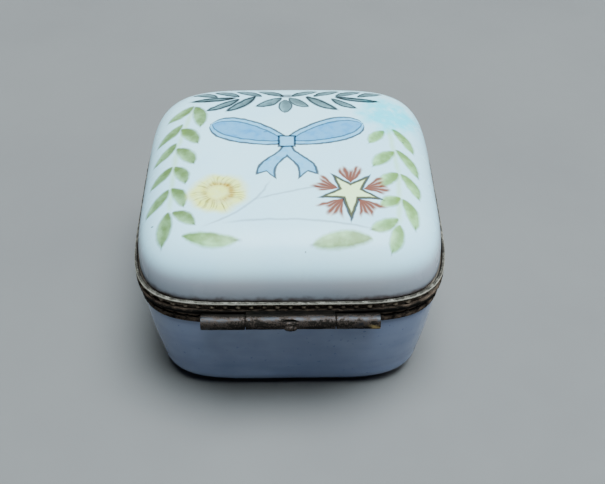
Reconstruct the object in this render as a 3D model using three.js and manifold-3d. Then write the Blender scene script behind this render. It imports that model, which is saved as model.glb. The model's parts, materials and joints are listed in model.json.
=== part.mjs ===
// A square porcelain box with a cushion-shaped lid, brass mounts and a three-knuckle hinge.
// Millimetres, +Z up, the table at Z = 0, the hinge on the -Y side, the thumb lift on the +Y side.
import * as THREE from "three";
import { mergeVertices } from "three/addons/utils/BufferGeometryUtils.js";
import Module from "manifold-3d";

const wasm = await Module();
wasm.setup();

// Plan and heights of the whole box
const PLAN_SIZE = 60; // across the mounts, the same both ways
const PLAN_POWER = 5; // 2 is a circle, larger is squarer
const BASE_HEIGHT = 24.6; // table to the plane where lid and base part
const LID_HEIGHT = 14.8; // parting plane to the crown
const LID_GAP = 0.1; // between the two mounts when shut

// Porcelain
const WALL = 3; // lid wall
const LIP_WALL = 2; // lid wall where it thins inside the mount
const BASE_WALL = 3;
const FLOOR = 3;
const MOUNT_PROUD = 1; // how far the mounts stand out past the porcelain
const BASE_TAPER = 2.2; // how much narrower each side is at the foot curve
const FOOT_RADIUS = 5; // rounding between side and underside
const FOOT_RING = 3.2; // width of the flat ring that stands on the table
const FOOT_RECESS = 0.8;
const FLOOR_RADIUS = 4; // rounding inside, between floor and wall
const DOME_SIDE_POWER = 2.7; // how upright the lid starts at its rim
const DOME_TOP_POWER = 5; // how flat the lid is on top

// Brass mounts and the plaster that beds them
const BASE_MOUNT_HEIGHT = 3;
const LID_MOUNT_HEIGHT = 2.8;
const SHEET = 0.5; // brass sheet
const BEDDING = 0.5; // plaster behind each mount
const FIT = 0.1; // gap between pieces that are set together
const EDGE_ROLL = 0.15; // how far the mounts' edges stand out past their faces
const WIRE_RADIUS = 0.45;
const PEARL_COUNT = 88; // on each mount
const PEARL_NECK = 0.35; // thickness between pearls, as a share of a pearl's
const BEZEL_RISE = 1.4; // how far the bezel reaches into the lid
const BEZEL_DEPTH = 2; // how far it reaches down inside the base
const BEZEL_RUN = 0.4; // clearance between bezel and lid
const BEZEL_SHEET = 0.45;

// Hinge
const BARREL_RADIUS = 1.4;
const BARREL_LENGTH = 32.4;
const CENTRE_LENGTH = 16.2;
const KNUCKLE_GAP = 0.15;
const PIN_RADIUS = 0.6;
const PIN_RUN = 0.08; // clearance round the pin
const BEARER_THICKNESS = 0.65; // metal between the barrel and the mounts
const BEARER_DROP = 2.5; // how far the base's bearer reaches down
const BEARER_FRONT = 0.25; // how far its front face stays behind the barrel's back
const BARREL_RUN = 0.12; // clearance between the barrel and the bearers
const OPEN_ANGLE = 95; // degrees the lid opens
const STOP_MARGIN = 4; // further degrees before the stop lump meets the bearer
const STOP_RADIUS = 0.6;
const STOP_PROUD = 0.5; // how far the lump stands out of the barrel
const STOP_WIDTH = 2.6;
const NOTCH_WIDTH = 3.2;
const NOTCH_RADIUS = 0.56;
const NOTCH_DEPTH = 0.35;
const NOTCH_ANGLE = 138; // degrees round the barrel, from the box side over the top

// Thumb lift
const THUMB_WIDTH = 9;
const THUMB_THICKNESS = 0.7;
const THUMB_EDGE = 0.1; // bevel

// Smoothness
const PLAN_STEPS = 48;
const ARC_STEPS = 3;
const DOME_STEPS = 9;
const PEARL_STEPS = 3;
const BARREL_STEPS = 24;

// Half widths, counted out from the middle at the centre of a side
const mountHalf = PLAN_SIZE / 2;
const bodyHalf = mountHalf - MOUNT_PROUD;
const wireHalf = mountHalf - WIRE_RADIUS;
const skirtOuter = wireHalf - WIRE_RADIUS + FIT / 2;
const skirtInner = skirtOuter - SHEET;
const beddingOuter = skirtInner - FIT;
const beddingInner = beddingOuter - BEDDING;
const lipOuter = beddingInner - FIT;
const lidInner = lipOuter - LIP_WALL;
const lidRimEdge = mountHalf - EDGE_ROLL;
const baseRimEdge = lidRimEdge - EDGE_ROLL;
const bezelOuter = lidInner - BEZEL_RUN;
const bezelInner = bezelOuter - BEZEL_SHEET;
const baseInner = bezelOuter + FIT;
const sideFoot = bodyHalf - BASE_TAPER;
const footHalf = sideFoot - FOOT_RADIUS;

// Heights in the base
const baseFlangeBottom = BASE_HEIGHT - SHEET;
const baseLip = baseFlangeBottom - FIT;
const baseSkirtBottom = BASE_HEIGHT - BASE_MOUNT_HEIGHT;
const baseLedge = baseSkirtBottom - FIT;
const baseRollTop = baseSkirtBottom + SHEET + EDGE_ROLL;
const baseRimBottom = baseFlangeBottom - (baseRimEdge - skirtOuter);

// Heights in the lid, counted from its underside
const lidLip = SHEET + FIT;
const wireCentre = LID_MOUNT_HEIGHT - WIRE_RADIUS;
const lidSkirtTop = wireCentre - WIRE_RADIUS - FIT / 2;
const lidLedge = wireCentre;
const lidRise = LID_HEIGHT - LID_GAP - lidLedge;

// Hinge places, with the axis along X at the parting plane
const fluteRadius = BARREL_RADIUS + BARREL_RUN;
const boreRadius = PIN_RADIUS + PIN_RUN;
const axisOut = lidRimEdge + BEARER_THICKNESS + BARREL_RADIUS;
const bearerFront = BARREL_RADIUS - BEARER_FRONT;
const sideLength = (BARREL_LENGTH - CENTRE_LENGTH) / 2 - KNUCKLE_GAP;
const sideMiddle = (BARREL_LENGTH - sideLength) / 2;
const stopDistance = BARREL_RADIUS + STOP_PROUD - STOP_RADIUS;
const stopDegrees = stopAngle();
const stopReach = STOP_RADIUS - stopDistance * Math.cos(THREE.MathUtils.degToRad(stopDegrees));
const thumbReach = axisOut + Math.max(BARREL_RADIUS, stopReach);

// Materials
const whiteGlaze = new THREE.MeshStandardMaterial({ name: "white_glaze", color: 0xe9eeee, roughness: 0.15 });
const blueGlaze = new THREE.MeshStandardMaterial({ name: "blue_glaze", color: 0xb8cde6, roughness: 0.15 });
const brass = new THREE.MeshStandardMaterial({ name: "aged_brass", color: 0x7d6a3c, metalness: 1, roughness: 0.4 });
const worn = new THREE.MeshStandardMaterial({ name: "worn_brass", color: 0x8d877a, metalness: 1, roughness: 0.4 });
const plaster = new THREE.MeshStandardMaterial({ name: "plaster", color: 0xcfc6b4, roughness: 0.9 });

// The angle round the barrel where the stop lump lies when the lid is shut: it meets the front corner
// of the base's bearer after the lid has opened and used up the margin
function stopAngle() {
  const corner = 360 - THREE.MathUtils.radToDeg(Math.acos(bearerFront / fluteRadius));
  const cosine = (stopDistance ** 2 + fluteRadius ** 2 - STOP_RADIUS ** 2) / (2 * stopDistance * fluteRadius);
  const halfWidth = THREE.MathUtils.radToDeg(Math.acos(Math.min(1, cosine)));
  return corner - halfWidth - OPEN_ANGLE - STOP_MARGIN;
}

function signedPower(value, power) {
  return Math.sign(value) * Math.abs(value) ** power;
}

// A point on the plan's outline, for a ring that reaches `half` at the centre of its sides. The turn starts
// at the hinge side, and equal turns crowd at the corners. Small rings near the middle are round.
function planPoint(half, turn) {
  const blend = Math.min(1, half / (0.6 * mountHalf));
  const power = 2 / (2 + (PLAN_POWER - 2) * blend * blend * (3 - 2 * blend));
  return new THREE.Vector2(half * signedPower(Math.sin(turn), power), -half * signedPower(Math.cos(turn), power));
}

function equalAngles(count) {
  return Array.from({ length: count }, (_, i) => (2 * Math.PI * i) / count);
}

// Turns whose points are evenly spaced along the outline of the mounts
function evenTurns(count) {
  const square = (value) => signedPower(value, PLAN_POWER / 2);
  const fine = equalAngles(count * 20).map((angle) => Math.atan2(square(Math.sin(angle)), square(Math.cos(angle))));
  const points = fine.map((turn) => planPoint(mountHalf, turn));
  const lengths = [0];
  for (let i = 1; i <= points.length; i += 1) {
    lengths.push(lengths[i - 1] + points[i % points.length].distanceTo(points[i - 1]));
  }
  const pitch = lengths.at(-1) / count;
  return Array.from({ length: count }, (_, i) => fine[lengths.findIndex((length) => length >= i * pitch)]);
}

// Sweeps a profile of (half width, height) points round the plan. `swell` can move a point by its step.
function sweepPlan(points, turns = equalAngles(PLAN_STEPS), swell = (out, height) => [out, height]) {
  const geometry = new THREE.LatheGeometry(points, turns.length);
  const position = geometry.getAttribute("position");
  for (let i = 0; i < position.count; i += 1) {
    const step = Math.floor(i / points.length) % turns.length;
    const point = points[i % points.length];
    const [half, height] = swell(point.x, point.y, step);
    const place = planPoint(half, turns[step]);
    position.setXYZ(i, place.x, place.y, height);
  }
  return geometry;
}

function closedProfile(corners) {
  const path = new THREE.Path();
  path.moveTo(...corners[0]);
  for (const corner of [...corners.slice(1), corners[0]]) {
    path.lineTo(...corner);
  }
  return path.getPoints();
}

function band(inner, outer, bottom, top) {
  return sweepPlan(closedProfile([[inner, bottom], [outer, bottom], [outer, top], [inner, top]]));
}

// A quarter of a cushion's section, from its rim up to the axis
function domePoints(half, rise, bottom) {
  const points = [];
  for (let i = 0; i <= DOME_STEPS; i += 1) {
    const turn = (i / DOME_STEPS) * (Math.PI / 2);
    const out = i === DOME_STEPS ? 0 : half * Math.cos(turn) ** (2 / DOME_TOP_POWER);
    const height = bottom + rise * Math.sin(turn) ** (2 / DOME_SIDE_POWER);
    points.push(new THREE.Vector2(out, height));
  }
  return points;
}

function toSolid(geometry) {
  const bare = geometry.clone();
  bare.deleteAttribute("normal");
  bare.deleteAttribute("uv");
  const merged = mergeVertices(bare, 1e-4);
  return new wasm.Manifold(new wasm.Mesh({
    numProp: 3,
    vertProperties: new Float32Array(merged.getAttribute("position").array),
    triVerts: new Uint32Array(merged.getIndex().array),
  }));
}

function toGeometry(solid) {
  const mesh = solid.getMesh();
  const geometry = new THREE.BufferGeometry();
  geometry.setAttribute("position", new THREE.BufferAttribute(new Float32Array(mesh.vertProperties), 3));
  geometry.setIndex(new THREE.BufferAttribute(new Uint32Array(mesh.triVerts), 1));
  geometry.computeVertexNormals();
  return geometry;
}

// The whole plan as a block, for cutting a piece to the curve of a mount
function planBlock(half, bottom, top) {
  const corners = [[0, bottom], [half, bottom], [half, top], [0, top]];
  return toSolid(sweepPlan(corners.map((corner) => new THREE.Vector2(...corner))));
}

function basePorcelain() {
  const path = new THREE.Path();
  path.moveTo(0, FOOT_RECESS);
  path.lineTo(footHalf - FOOT_RING - FOOT_RECESS, FOOT_RECESS);
  path.lineTo(footHalf - FOOT_RING, 0);
  path.lineTo(footHalf, 0);
  path.absarc(footHalf, FOOT_RADIUS, FOOT_RADIUS, -Math.PI / 2, 0, false);
  path.quadraticCurveTo(bodyHalf - BASE_TAPER / 4, (FOOT_RADIUS + baseLedge) / 2, bodyHalf, baseLedge);
  path.lineTo(lipOuter, baseLedge);
  path.lineTo(lipOuter, baseLip);
  path.lineTo(baseInner, baseLip);
  path.lineTo(baseInner, baseLip - BEZEL_DEPTH);
  path.lineTo(sideFoot - BASE_WALL, FLOOR + FLOOR_RADIUS);
  path.absarc(sideFoot - BASE_WALL - FLOOR_RADIUS, FLOOR + FLOOR_RADIUS, FLOOR_RADIUS, 0, -Math.PI / 2, true);
  path.lineTo(0, FLOOR);
  return sweepPlan(path.getPoints(ARC_STEPS));
}

function lidPorcelain() {
  const inside = domePoints(lidInner, lidRise - WALL, lidLedge).reverse();
  const outside = domePoints(bodyHalf, lidRise, lidLedge);
  const lip = [[lidInner, lidLip], [lipOuter, lidLip], [lipOuter, lidLedge]];
  return sweepPlan([...inside, ...lip.map((corner) => new THREE.Vector2(...corner)), ...outside]);
}

// An angle of brass: a skirt down the outside of the base's rim and a flange over its lip
function baseMount() {
  const rolled = skirtOuter + EDGE_ROLL;
  return sweepPlan(closedProfile([
    [skirtInner, baseSkirtBottom],
    [rolled, baseSkirtBottom],
    [rolled, baseSkirtBottom + SHEET],
    [skirtOuter, baseRollTop],
    [skirtOuter, baseRimBottom],
    [baseRimEdge, baseFlangeBottom],
    [baseRimEdge, BASE_HEIGHT],
    [baseInner, BASE_HEIGHT],
    [baseInner, baseFlangeBottom],
    [skirtInner, baseFlangeBottom],
  ]));
}

// The same angle turned over for the lid
function lidMount() {
  return sweepPlan(closedProfile([
    [lidInner, 0],
    [lidRimEdge, 0],
    [lidRimEdge, SHEET],
    [skirtOuter, SHEET],
    [skirtOuter, lidSkirtTop],
    [skirtInner, lidSkirtTop],
    [skirtInner, SHEET],
    [lidInner, SHEET],
  ]));
}

function edgeWire() {
  const path = new THREE.Path();
  path.absarc(wireHalf, wireCentre, WIRE_RADIUS, 0, Math.PI * 2, false);
  return sweepPlan(path.getPoints(4));
}

// Half-round pearls in one strip along a mount's skirt: the section swells once for each pearl
function pearlStrip(bottom, top, rimEdge) {
  const centre = (bottom + top) / 2;
  const radius = Math.min((top - bottom) / 2, rimEdge - skirtOuter) - FIT;
  const back = skirtOuter + FIT / 2;
  const path = new THREE.Path();
  path.absarc(back, centre, radius, -Math.PI / 2, Math.PI / 2, false);
  const section = path.getPoints(2);
  section.push(section[0].clone());
  const neck = (out, height, step) => {
    const size = step % PEARL_STEPS === 0 ? 1 : PEARL_NECK;
    return [back + (out - back) * size, centre + (height - centre) * size];
  };
  return sweepPlan(section, evenTurns(PEARL_COUNT * PEARL_STEPS), neck);
}

function tube(length) {
  const half = length / 2;
  const profile = closedProfile([
    [boreRadius, -half],
    [BARREL_RADIUS - FIT, -half],
    [BARREL_RADIUS, FIT - half],
    [BARREL_RADIUS, half - FIT],
    [BARREL_RADIUS - FIT, half],
    [boreRadius, half],
  ]);
  return new THREE.LatheGeometry(profile, BARREL_STEPS).rotateZ(Math.PI / 2);
}

// An egg shape lying along X, beside the barrel's axis
function egg(width, radius, distance, degrees) {
  const angle = THREE.MathUtils.degToRad(degrees);
  const geometry = new THREE.SphereGeometry(radius, 12, 8).rotateZ(Math.PI / 2);
  geometry.scale(width / 2 / radius, 1, 1);
  return geometry.translate(0, distance * Math.cos(angle), distance * Math.sin(angle));
}

function centreKnuckle() {
  const lump = toSolid(egg(STOP_WIDTH, STOP_RADIUS, stopDistance, stopDegrees));
  const notch = toSolid(egg(NOTCH_WIDTH, NOTCH_RADIUS, BARREL_RADIUS + NOTCH_RADIUS - NOTCH_DEPTH, NOTCH_ANGLE));
  return toGeometry(toSolid(tube(CENTRE_LENGTH)).subtract(notch).add(lump));
}

// A strip between the barrel and a mount, hollowed for the barrel and cut to the mount's curve.
// Its heights are counted from the hinge axis.
function bearer(length, front, bottom, top, rimEdge) {
  const depth = axisOut - front;
  const block = new THREE.BoxGeometry(length, depth, top - bottom);
  block.translate(0, front + depth / 2, (top + bottom) / 2);
  const flute = new THREE.CylinderGeometry(fluteRadius, fluteRadius, length + 1, BARREL_STEPS).rotateZ(Math.PI / 2);
  const rim = planBlock(rimEdge + FIT, bottom - 1, top + 1).translate([0, axisOut, 0]);
  return toGeometry(toSolid(block).subtract(toSolid(flute)).subtract(rim));
}

// A half-oval tab standing out from the front of the lid's mount
function thumbLift() {
  const tip = thumbReach - lidRimEdge - THUMB_EDGE;
  const shape = new THREE.Shape();
  shape.moveTo(THUMB_WIDTH / 2, -MOUNT_PROUD);
  shape.lineTo(THUMB_WIDTH / 2, 0);
  shape.absellipse(0, 0, THUMB_WIDTH / 2, tip, 0, Math.PI, false);
  shape.lineTo(-THUMB_WIDTH / 2, -MOUNT_PROUD);
  const geometry = new THREE.ExtrudeGeometry(shape, {
    depth: THUMB_THICKNESS - 2 * THUMB_EDGE,
    bevelThickness: THUMB_EDGE,
    bevelSize: THUMB_EDGE,
    bevelSegments: 1,
    curveSegments: 12,
  });
  geometry.translate(0, lidRimEdge, THUMB_EDGE + FIT);
  return toGeometry(toSolid(geometry).subtract(planBlock(lidRimEdge + FIT, -1, THUMB_THICKNESS + 1)));
}

const box = new THREE.Group();
const base = new THREE.Group();
const lid = new THREE.Group();
const hinge = new THREE.Group();
lid.position.z = BASE_HEIGHT + LID_GAP;
hinge.position.set(0, -axisOut, BASE_HEIGHT);
box.add(base, lid, hinge);

function addPiece(group, name, geometry, material, x = 0) {
  const mesh = new THREE.Mesh(geometry, material);
  mesh.name = name;
  mesh.position.x = x;
  group.add(mesh);
}

addPiece(base, "base_porcelain", basePorcelain(), blueGlaze);
addPiece(base, "base_bedding", band(beddingInner, beddingOuter, baseSkirtBottom, baseLip), plaster);
addPiece(base, "base_mount", baseMount(), brass);
addPiece(base, "base_pearl_strip", pearlStrip(baseRollTop, baseRimBottom, baseRimEdge), brass);
addPiece(base, "base_bezel", band(bezelInner, bezelOuter, BASE_HEIGHT - BEZEL_DEPTH, BASE_HEIGHT + BEZEL_RISE), brass);

addPiece(lid, "lid_porcelain", lidPorcelain(), whiteGlaze);
addPiece(lid, "lid_bedding", band(beddingInner, beddingOuter, lidLip, lidLedge - FIT), plaster);
addPiece(lid, "lid_mount", lidMount(), brass);
addPiece(lid, "lid_edge_wire", edgeWire(), brass);
addPiece(lid, "lid_pearl_strip", pearlStrip(SHEET, lidSkirtTop, lidRimEdge), brass);
addPiece(lid, "thumb_lift", thumbLift(), brass);

addPiece(hinge, "base_bearer", bearer(BARREL_LENGTH, bearerFront, -BEARER_DROP, -FIT / 2, baseRimEdge), worn);
addPiece(hinge, "lid_bearer", bearer(CENTRE_LENGTH, BARREL_RADIUS, LID_GAP, LID_GAP + SHEET, lidRimEdge), worn);
addPiece(hinge, "hinge_knuckle_left", tube(sideLength), worn, -sideMiddle);
addPiece(hinge, "hinge_knuckle_centre", centreKnuckle(), worn);
addPiece(hinge, "hinge_knuckle_right", tube(sideLength), worn, sideMiddle);
const pin = new THREE.CylinderGeometry(PIN_RADIUS, PIN_RADIUS, BARREL_LENGTH, 16).rotateZ(Math.PI / 2);
addPiece(hinge, "hinge_pin", pin, worn);

export default box;
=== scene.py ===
# %% [markdown]
# # A painted porcelain box with brass mounts
# The real object is a square trinket box: a white cushion-shaped lid painted with leaves, a pale blue base,
# a brass band round each rim, and a three-knuckle hinge that joins the bands. The measured solids come
# first, as a fixed frame. Each piece made here takes its size from them and moves with one of their bodies.

# %% Load the measured solids
import json
import math

import bmesh
import bpy
from mathutils import Matrix, Vector, noise


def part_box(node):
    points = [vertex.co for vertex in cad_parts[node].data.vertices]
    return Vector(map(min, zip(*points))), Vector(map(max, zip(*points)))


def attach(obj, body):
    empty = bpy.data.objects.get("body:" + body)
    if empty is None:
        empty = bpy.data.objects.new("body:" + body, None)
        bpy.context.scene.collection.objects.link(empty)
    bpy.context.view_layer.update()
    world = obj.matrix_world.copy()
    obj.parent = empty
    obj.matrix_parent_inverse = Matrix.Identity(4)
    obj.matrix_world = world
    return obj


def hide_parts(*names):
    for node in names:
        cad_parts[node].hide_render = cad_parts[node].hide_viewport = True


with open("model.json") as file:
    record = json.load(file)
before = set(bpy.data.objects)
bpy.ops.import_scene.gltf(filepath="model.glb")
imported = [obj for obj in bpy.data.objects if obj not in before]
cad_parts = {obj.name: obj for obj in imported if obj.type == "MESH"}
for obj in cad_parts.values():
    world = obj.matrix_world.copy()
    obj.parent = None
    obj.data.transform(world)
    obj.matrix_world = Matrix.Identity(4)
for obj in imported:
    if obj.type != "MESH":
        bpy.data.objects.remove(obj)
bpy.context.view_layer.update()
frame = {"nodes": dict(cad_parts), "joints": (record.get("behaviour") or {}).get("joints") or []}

# %% [markdown]
# ## Sizes
# Blender works in metres, but a box of this size is easier to think of in millimetres, so every size below
# is in millimetres and is scaled by MM when a vertex is made. Half widths are counted from the middle of
# the box to the middle of a side. They could be typed in again, but reading them from the solids keeps the
# two models the same.

# %% Sizes read from the solids
MM = 0.001


def extent(node):
    """Half width, bottom and top of a solid, in millimetres."""
    low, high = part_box(node)
    return high.x / MM, low.z / MM, high.z / MM


lid_half, lid_lip, crown = extent("lid_porcelain")
base_half, _, base_lip = extent("base_porcelain")
wire_reach, wire_bottom, wire_top = extent("lid_edge_wire")
lid_rim, lid_underside, lid_skirt_top = extent("lid_mount")
base_rim, base_skirt_bottom, parting = extent("base_mount")
bedding_half, _, _ = extent("base_bedding")
bezel_outer, bezel_bottom, bezel_top = extent("base_bezel")
print(f"porcelain half width {lid_half:.2f}, crown {crown:.2f}, parting plane {parting:.2f} mm")

# %% Sizes that follow from the sheet and the walls
SHEET = 0.5
FIT = 0.1
BEDDING = 0.5
LIP_WALL = 2.0
LID_WALL = 3.0
EDGE_ROLL = 0.15
skirt_inner = bedding_half + FIT
skirt_outer = skirt_inner + SHEET
lip_outer = bedding_half - BEDDING - FIT
lid_inner = lip_outer - LIP_WALL
base_inner = bezel_outer + FIT
wire_radius = (wire_top - wire_bottom) / 2
wire_half = wire_reach - wire_radius
lid_ledge = wire_top - wire_radius
base_ledge = base_skirt_bottom - FIT
print(f"band faces at {skirt_outer:.2f}, porcelain lips at {lip_outer:.2f} mm")

# %% [markdown]
# ## The plan
# Seen from above, the box is a square with softly bowed sides and round corners, which is the curve called
# a superellipse. A rounded rectangle would have flat sides and a visible change at each corner. The rings
# near the middle of the lid are round, so that its top has no creases.

# %% The plan's curve
PLAN_POWER = 5
ROUND_WITHIN = 18  # rings smaller than this ease towards a circle


def plan_power(half):
    """How square a ring of this half width is: 2 is a circle."""
    blend = min(1, half / ROUND_WITHIN)
    return 2 + (PLAN_POWER - 2) * blend * blend * (3 - 2 * blend)


def plan_stretch(half, across, along):
    """How far a ring reaches in one direction, as a share of its half width."""
    power = plan_power(half)
    return (abs(across) ** power + abs(along) ** power) ** (-1 / power)


def outward(place):
    """The half width of the ring that a point outside the round middle lies on, in millimetres."""
    return (abs(place.x) ** PLAN_POWER + abs(place.y) ** PLAN_POWER) ** (1 / PLAN_POWER) / MM


print(f"a corner reaches {plan_stretch(lid_half, math.sqrt(0.5), math.sqrt(0.5)):.3f} half widths")

# %% [markdown]
# ## Sweeping a section round the plan
# Porcelain like this is pressed or cast in a mould, and the bands are drawn wire and strip, so each of them
# is one section carried round the plan. The Spin operator carries it round a circle. After that each vertex
# is pushed out until its ring has the plan's shape, which keeps the loops even and the poles closed.

# %% Spin a section and square its rings
PLAN_STEPS = 192
SAME_PLACE = 1e-6


def draw_section(points, closed=False):
    """A bmesh that holds a section as a chain of edges."""
    bm = bmesh.new()
    verts = [bm.verts.new(point) for point in points]
    pairs = list(zip(verts, verts[1:]))
    if closed:
        pairs.append((verts[-1], verts[0]))
    for pair in pairs:
        bm.edges.new(pair)
    return bm


def spin_section(bm, axis, centre, steps):
    """Carries a section through a full turn, and joins what meets."""
    bmesh.ops.spin(bm, geom=bm.verts[:] + bm.edges[:], axis=axis, cent=centre, angle=math.tau,
                   steps=steps, use_merge=True)
    bmesh.ops.remove_doubles(bm, verts=bm.verts, dist=SAME_PLACE)


def sweep(section, closed=False, steps=PLAN_STEPS):
    """Carries (half width, height) points round the plan, and returns the bmesh."""
    bm = draw_section([(half * MM, 0, height * MM) for half, height in section], closed)
    spin_section(bm, (0, 0, 1), (0, 0, 0), steps)
    for vert in bm.verts:
        half = vert.co.xy.length
        if half > SAME_PLACE:
            vert.co.xy *= plan_stretch(half / MM, vert.co.x / half, vert.co.y / half)
    bmesh.ops.recalc_face_normals(bm, faces=bm.faces)
    return bm


print("sections are swept in", PLAN_STEPS, "steps")

# %% Curves that a section is drawn with
def arc(centre, radius, start, end, steps):
    """Points of a section round a centre, with angles in degrees from outward."""
    turns = [math.radians(start + (end - start) * i / steps) for i in range(steps + 1)]
    return [(centre[0] + radius * math.cos(t), centre[1] + radius * math.sin(t)) for t in turns]


def bow_curve(start, pull, end, steps):
    """Points of a section that leave start towards pull and arrive at end."""
    points = []
    for i in range(steps + 1):
        t = i / steps
        shares = list(zip(((1 - t) ** 2, 2 * t * (1 - t), t ** 2), (start, pull, end)))
        points.append(tuple(sum(share * stop[axis] for share, stop in shares) for axis in (0, 1)))
    return points


print("a quarter circle in eight steps has", len(arc((0, 0), 1, 0, 90, 8)), "points")

# %% [markdown]
# ## Finishing a mesh
# Real edges are never perfectly sharp: a small bevel catches a line of light. The Bevel operator is given
# only the edges that turn by more than a chosen angle. Hand-made surfaces also wander a little, so a slow
# noise moves the vertices along their normals by a few hundredths of a millimetre.

# %% Round and ripple a mesh
CREASE = math.radians(32)


def creases(bm):
    """The edges where the surface turns sharply."""
    return [edge for edge in bm.edges if len(edge.link_faces) == 2 and edge.calc_face_angle() > CREASE]


def soften(bm, width, segments=2):
    """Bevels the sharp edges by a width in millimetres."""
    bmesh.ops.bevel(bm, geom=creases(bm), offset=width * MM, affect="EDGES", segments=segments,
                    profile=0.5, material=-1, clamp_overlap=True)


def ripple(bm, depth, pitch):
    """Moves a surface in and out by a slow noise, both in millimetres."""
    bm.normal_update()
    moves = [vert.normal * depth * MM * noise.noise(vert.co / (pitch * MM)) for vert in bm.verts]
    for vert, move in zip(bm.verts, moves):
        vert.co += move


print(f"edges that turn by more than {math.degrees(CREASE):.0f} degrees count as creases")

# %% Store wear and finish a piece
def wear_by(bm, rule):
    """Stores how worn the metal is at each vertex, from 0 to 1, for the brass finish to read. On some
    pieces it also holds painted light and shade.
    """
    bm.normal_update()
    layer = bm.verts.layers.float.new("wear_and_light")
    for vert in bm.verts:
        vert[layer] = min(1, max(0, rule(vert)))


def finish_piece(bm, name, body, materials, nodes):
    """Turns a bmesh into a piece that rides on a body and stands for the solids named."""
    for edge in creases(bm):
        edge.smooth = False
    for face in bm.faces:
        face.smooth = True
    open_edges = sum(not edge.is_manifold for edge in bm.edges)
    mesh = bpy.data.meshes.new(name)
    bm.to_mesh(mesh)
    bm.free()
    for material in materials:
        mesh.materials.append(material)
    piece = bpy.data.objects.new(name, mesh)
    bpy.context.scene.collection.objects.link(piece)
    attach(piece, body)
    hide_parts(*nodes)
    print(f"{name}: {len(mesh.polygons)} faces, {open_edges} open edges")


print("a finished piece has a body, its materials and the solids that it stands for")

# %% [markdown]
# ## Writing sums in a node tree
# A painted motif is a sum: how far is this point from a leaf's edge, and on which side. Dozens of Math
# nodes placed one by one would be hard to read, so NodeValue wraps a socket and lets Python's own signs
# add the nodes. The shader still holds plain nodes, and nothing is an image.

# %% Numbers as nodes
class NodeValue:
    """One value in a node tree. Signs such as + and * add the Math nodes."""

    def __init__(self, tree, socket):
        self.tree = tree
        self.socket = socket

    def math(self, operation, *others):
        node = self.tree.nodes.new("ShaderNodeMath")
        node.operation = operation
        for plug, value in zip(node.inputs, (self, *others)):
            feed(plug, value)
        return NodeValue(self.tree, node.outputs[0])

    def __add__(self, other):
        return self.math("ADD", other)

    def __sub__(self, other):
        return self.math("SUBTRACT", other)

    def __mul__(self, other):
        return self.math("MULTIPLY", other)

    def __truediv__(self, other):
        return self.math("DIVIDE", other)

    def __abs__(self):
        return self.math("ABSOLUTE")

    def fade(self, low, high, start=0.0, end=1.0):
        """Goes softly from start to end while the value goes from low to high."""
        node = self.tree.nodes.new("ShaderNodeMapRange")
        node.interpolation_type = "SMOOTHSTEP"
        node.clamp = False
        for plug, value in zip(node.inputs, (self, low, high, start, end)):
            feed(plug, value)
        return NodeValue(self.tree, node.outputs[0])


print("a node value adds Math and Map Range nodes")

# %% Fill a socket and mix two colours
def feed(plug, value):
    """Links a node value to an input, or writes a plain number or colour there."""
    if isinstance(value, NodeValue):
        value.tree.links.new(value.socket, plug)
    else:
        plug.default_value = value


def mixed(amount, under, over, way="MIX"):
    """One colour over another by an amount."""
    node = amount.tree.nodes.new("ShaderNodeMix")
    node.data_type = "RGBA"
    node.blend_type = way
    for plug, value in zip((node.inputs[0], node.inputs[6], node.inputs[7]), (amount, under, over)):
        feed(plug, value)
    return NodeValue(amount.tree, node.outputs[2])


print("a colour can be mixed over another")

# %% Coordinates, noise and a blank finish
def new_finish(name):
    """A material, its shader, and where a point lies on the object in millimetres."""
    material = bpy.data.materials.new(name)
    material.use_nodes = True
    tree = material.node_tree
    coordinates = tree.nodes.new("ShaderNodeTexCoord")
    scaled = tree.nodes.new("ShaderNodeVectorMath")
    scaled.operation = "SCALE"
    scaled.inputs["Scale"].default_value = 1 / MM
    tree.links.new(coordinates.outputs["Object"], scaled.inputs[0])
    return material, tree.nodes["Principled BSDF"], NodeValue(tree, scaled.outputs[0])


def split(place):
    """The three numbers of a place."""
    node = place.tree.nodes.new("ShaderNodeSeparateXYZ")
    feed(node.inputs[0], place)
    return [NodeValue(place.tree, socket) for socket in node.outputs]


def cloud(place, size, detail, stretch=(1, 1, 1), output="Fac"):
    """Noise from 0 to 1 with lumps of about a size in millimetres, stretched along an axis if asked."""
    if stretch != (1, 1, 1):
        mapping = place.tree.nodes.new("ShaderNodeMapping")
        mapping.inputs["Scale"].default_value = stretch
        feed(mapping.inputs["Vector"], place)
        place = NodeValue(place.tree, mapping.outputs[0])
    node = place.tree.nodes.new("ShaderNodeTexNoise")
    node.inputs["Scale"].default_value = 1 / size
    node.inputs["Detail"].default_value = detail
    feed(node.inputs["Vector"], place)
    return NodeValue(place.tree, node.outputs[output])


def relief(shader, height, depth):
    """Feeds a height to the shader as bump, with its depth in millimetres."""
    bump = height.tree.nodes.new("ShaderNodeBump")
    bump.inputs["Distance"].default_value = depth * MM
    feed(bump.inputs["Height"], height)
    height.tree.links.new(bump.outputs["Normal"], shader.inputs["Normal"])


print("node helpers are ready")

# %% [markdown]
# ## A painted leaf
# The leaves are single brush strokes: pointed at both ends, darker where the brush was set down, thinner
# along one side. A leaf could be a plane with a texture, but then it would float on the glaze. Here it is a
# small node group that works on a place where the leaf runs from 0 to 1 along X. It keeps the paint that is
# already there and adds its own, so leaves can be chained.

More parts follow.
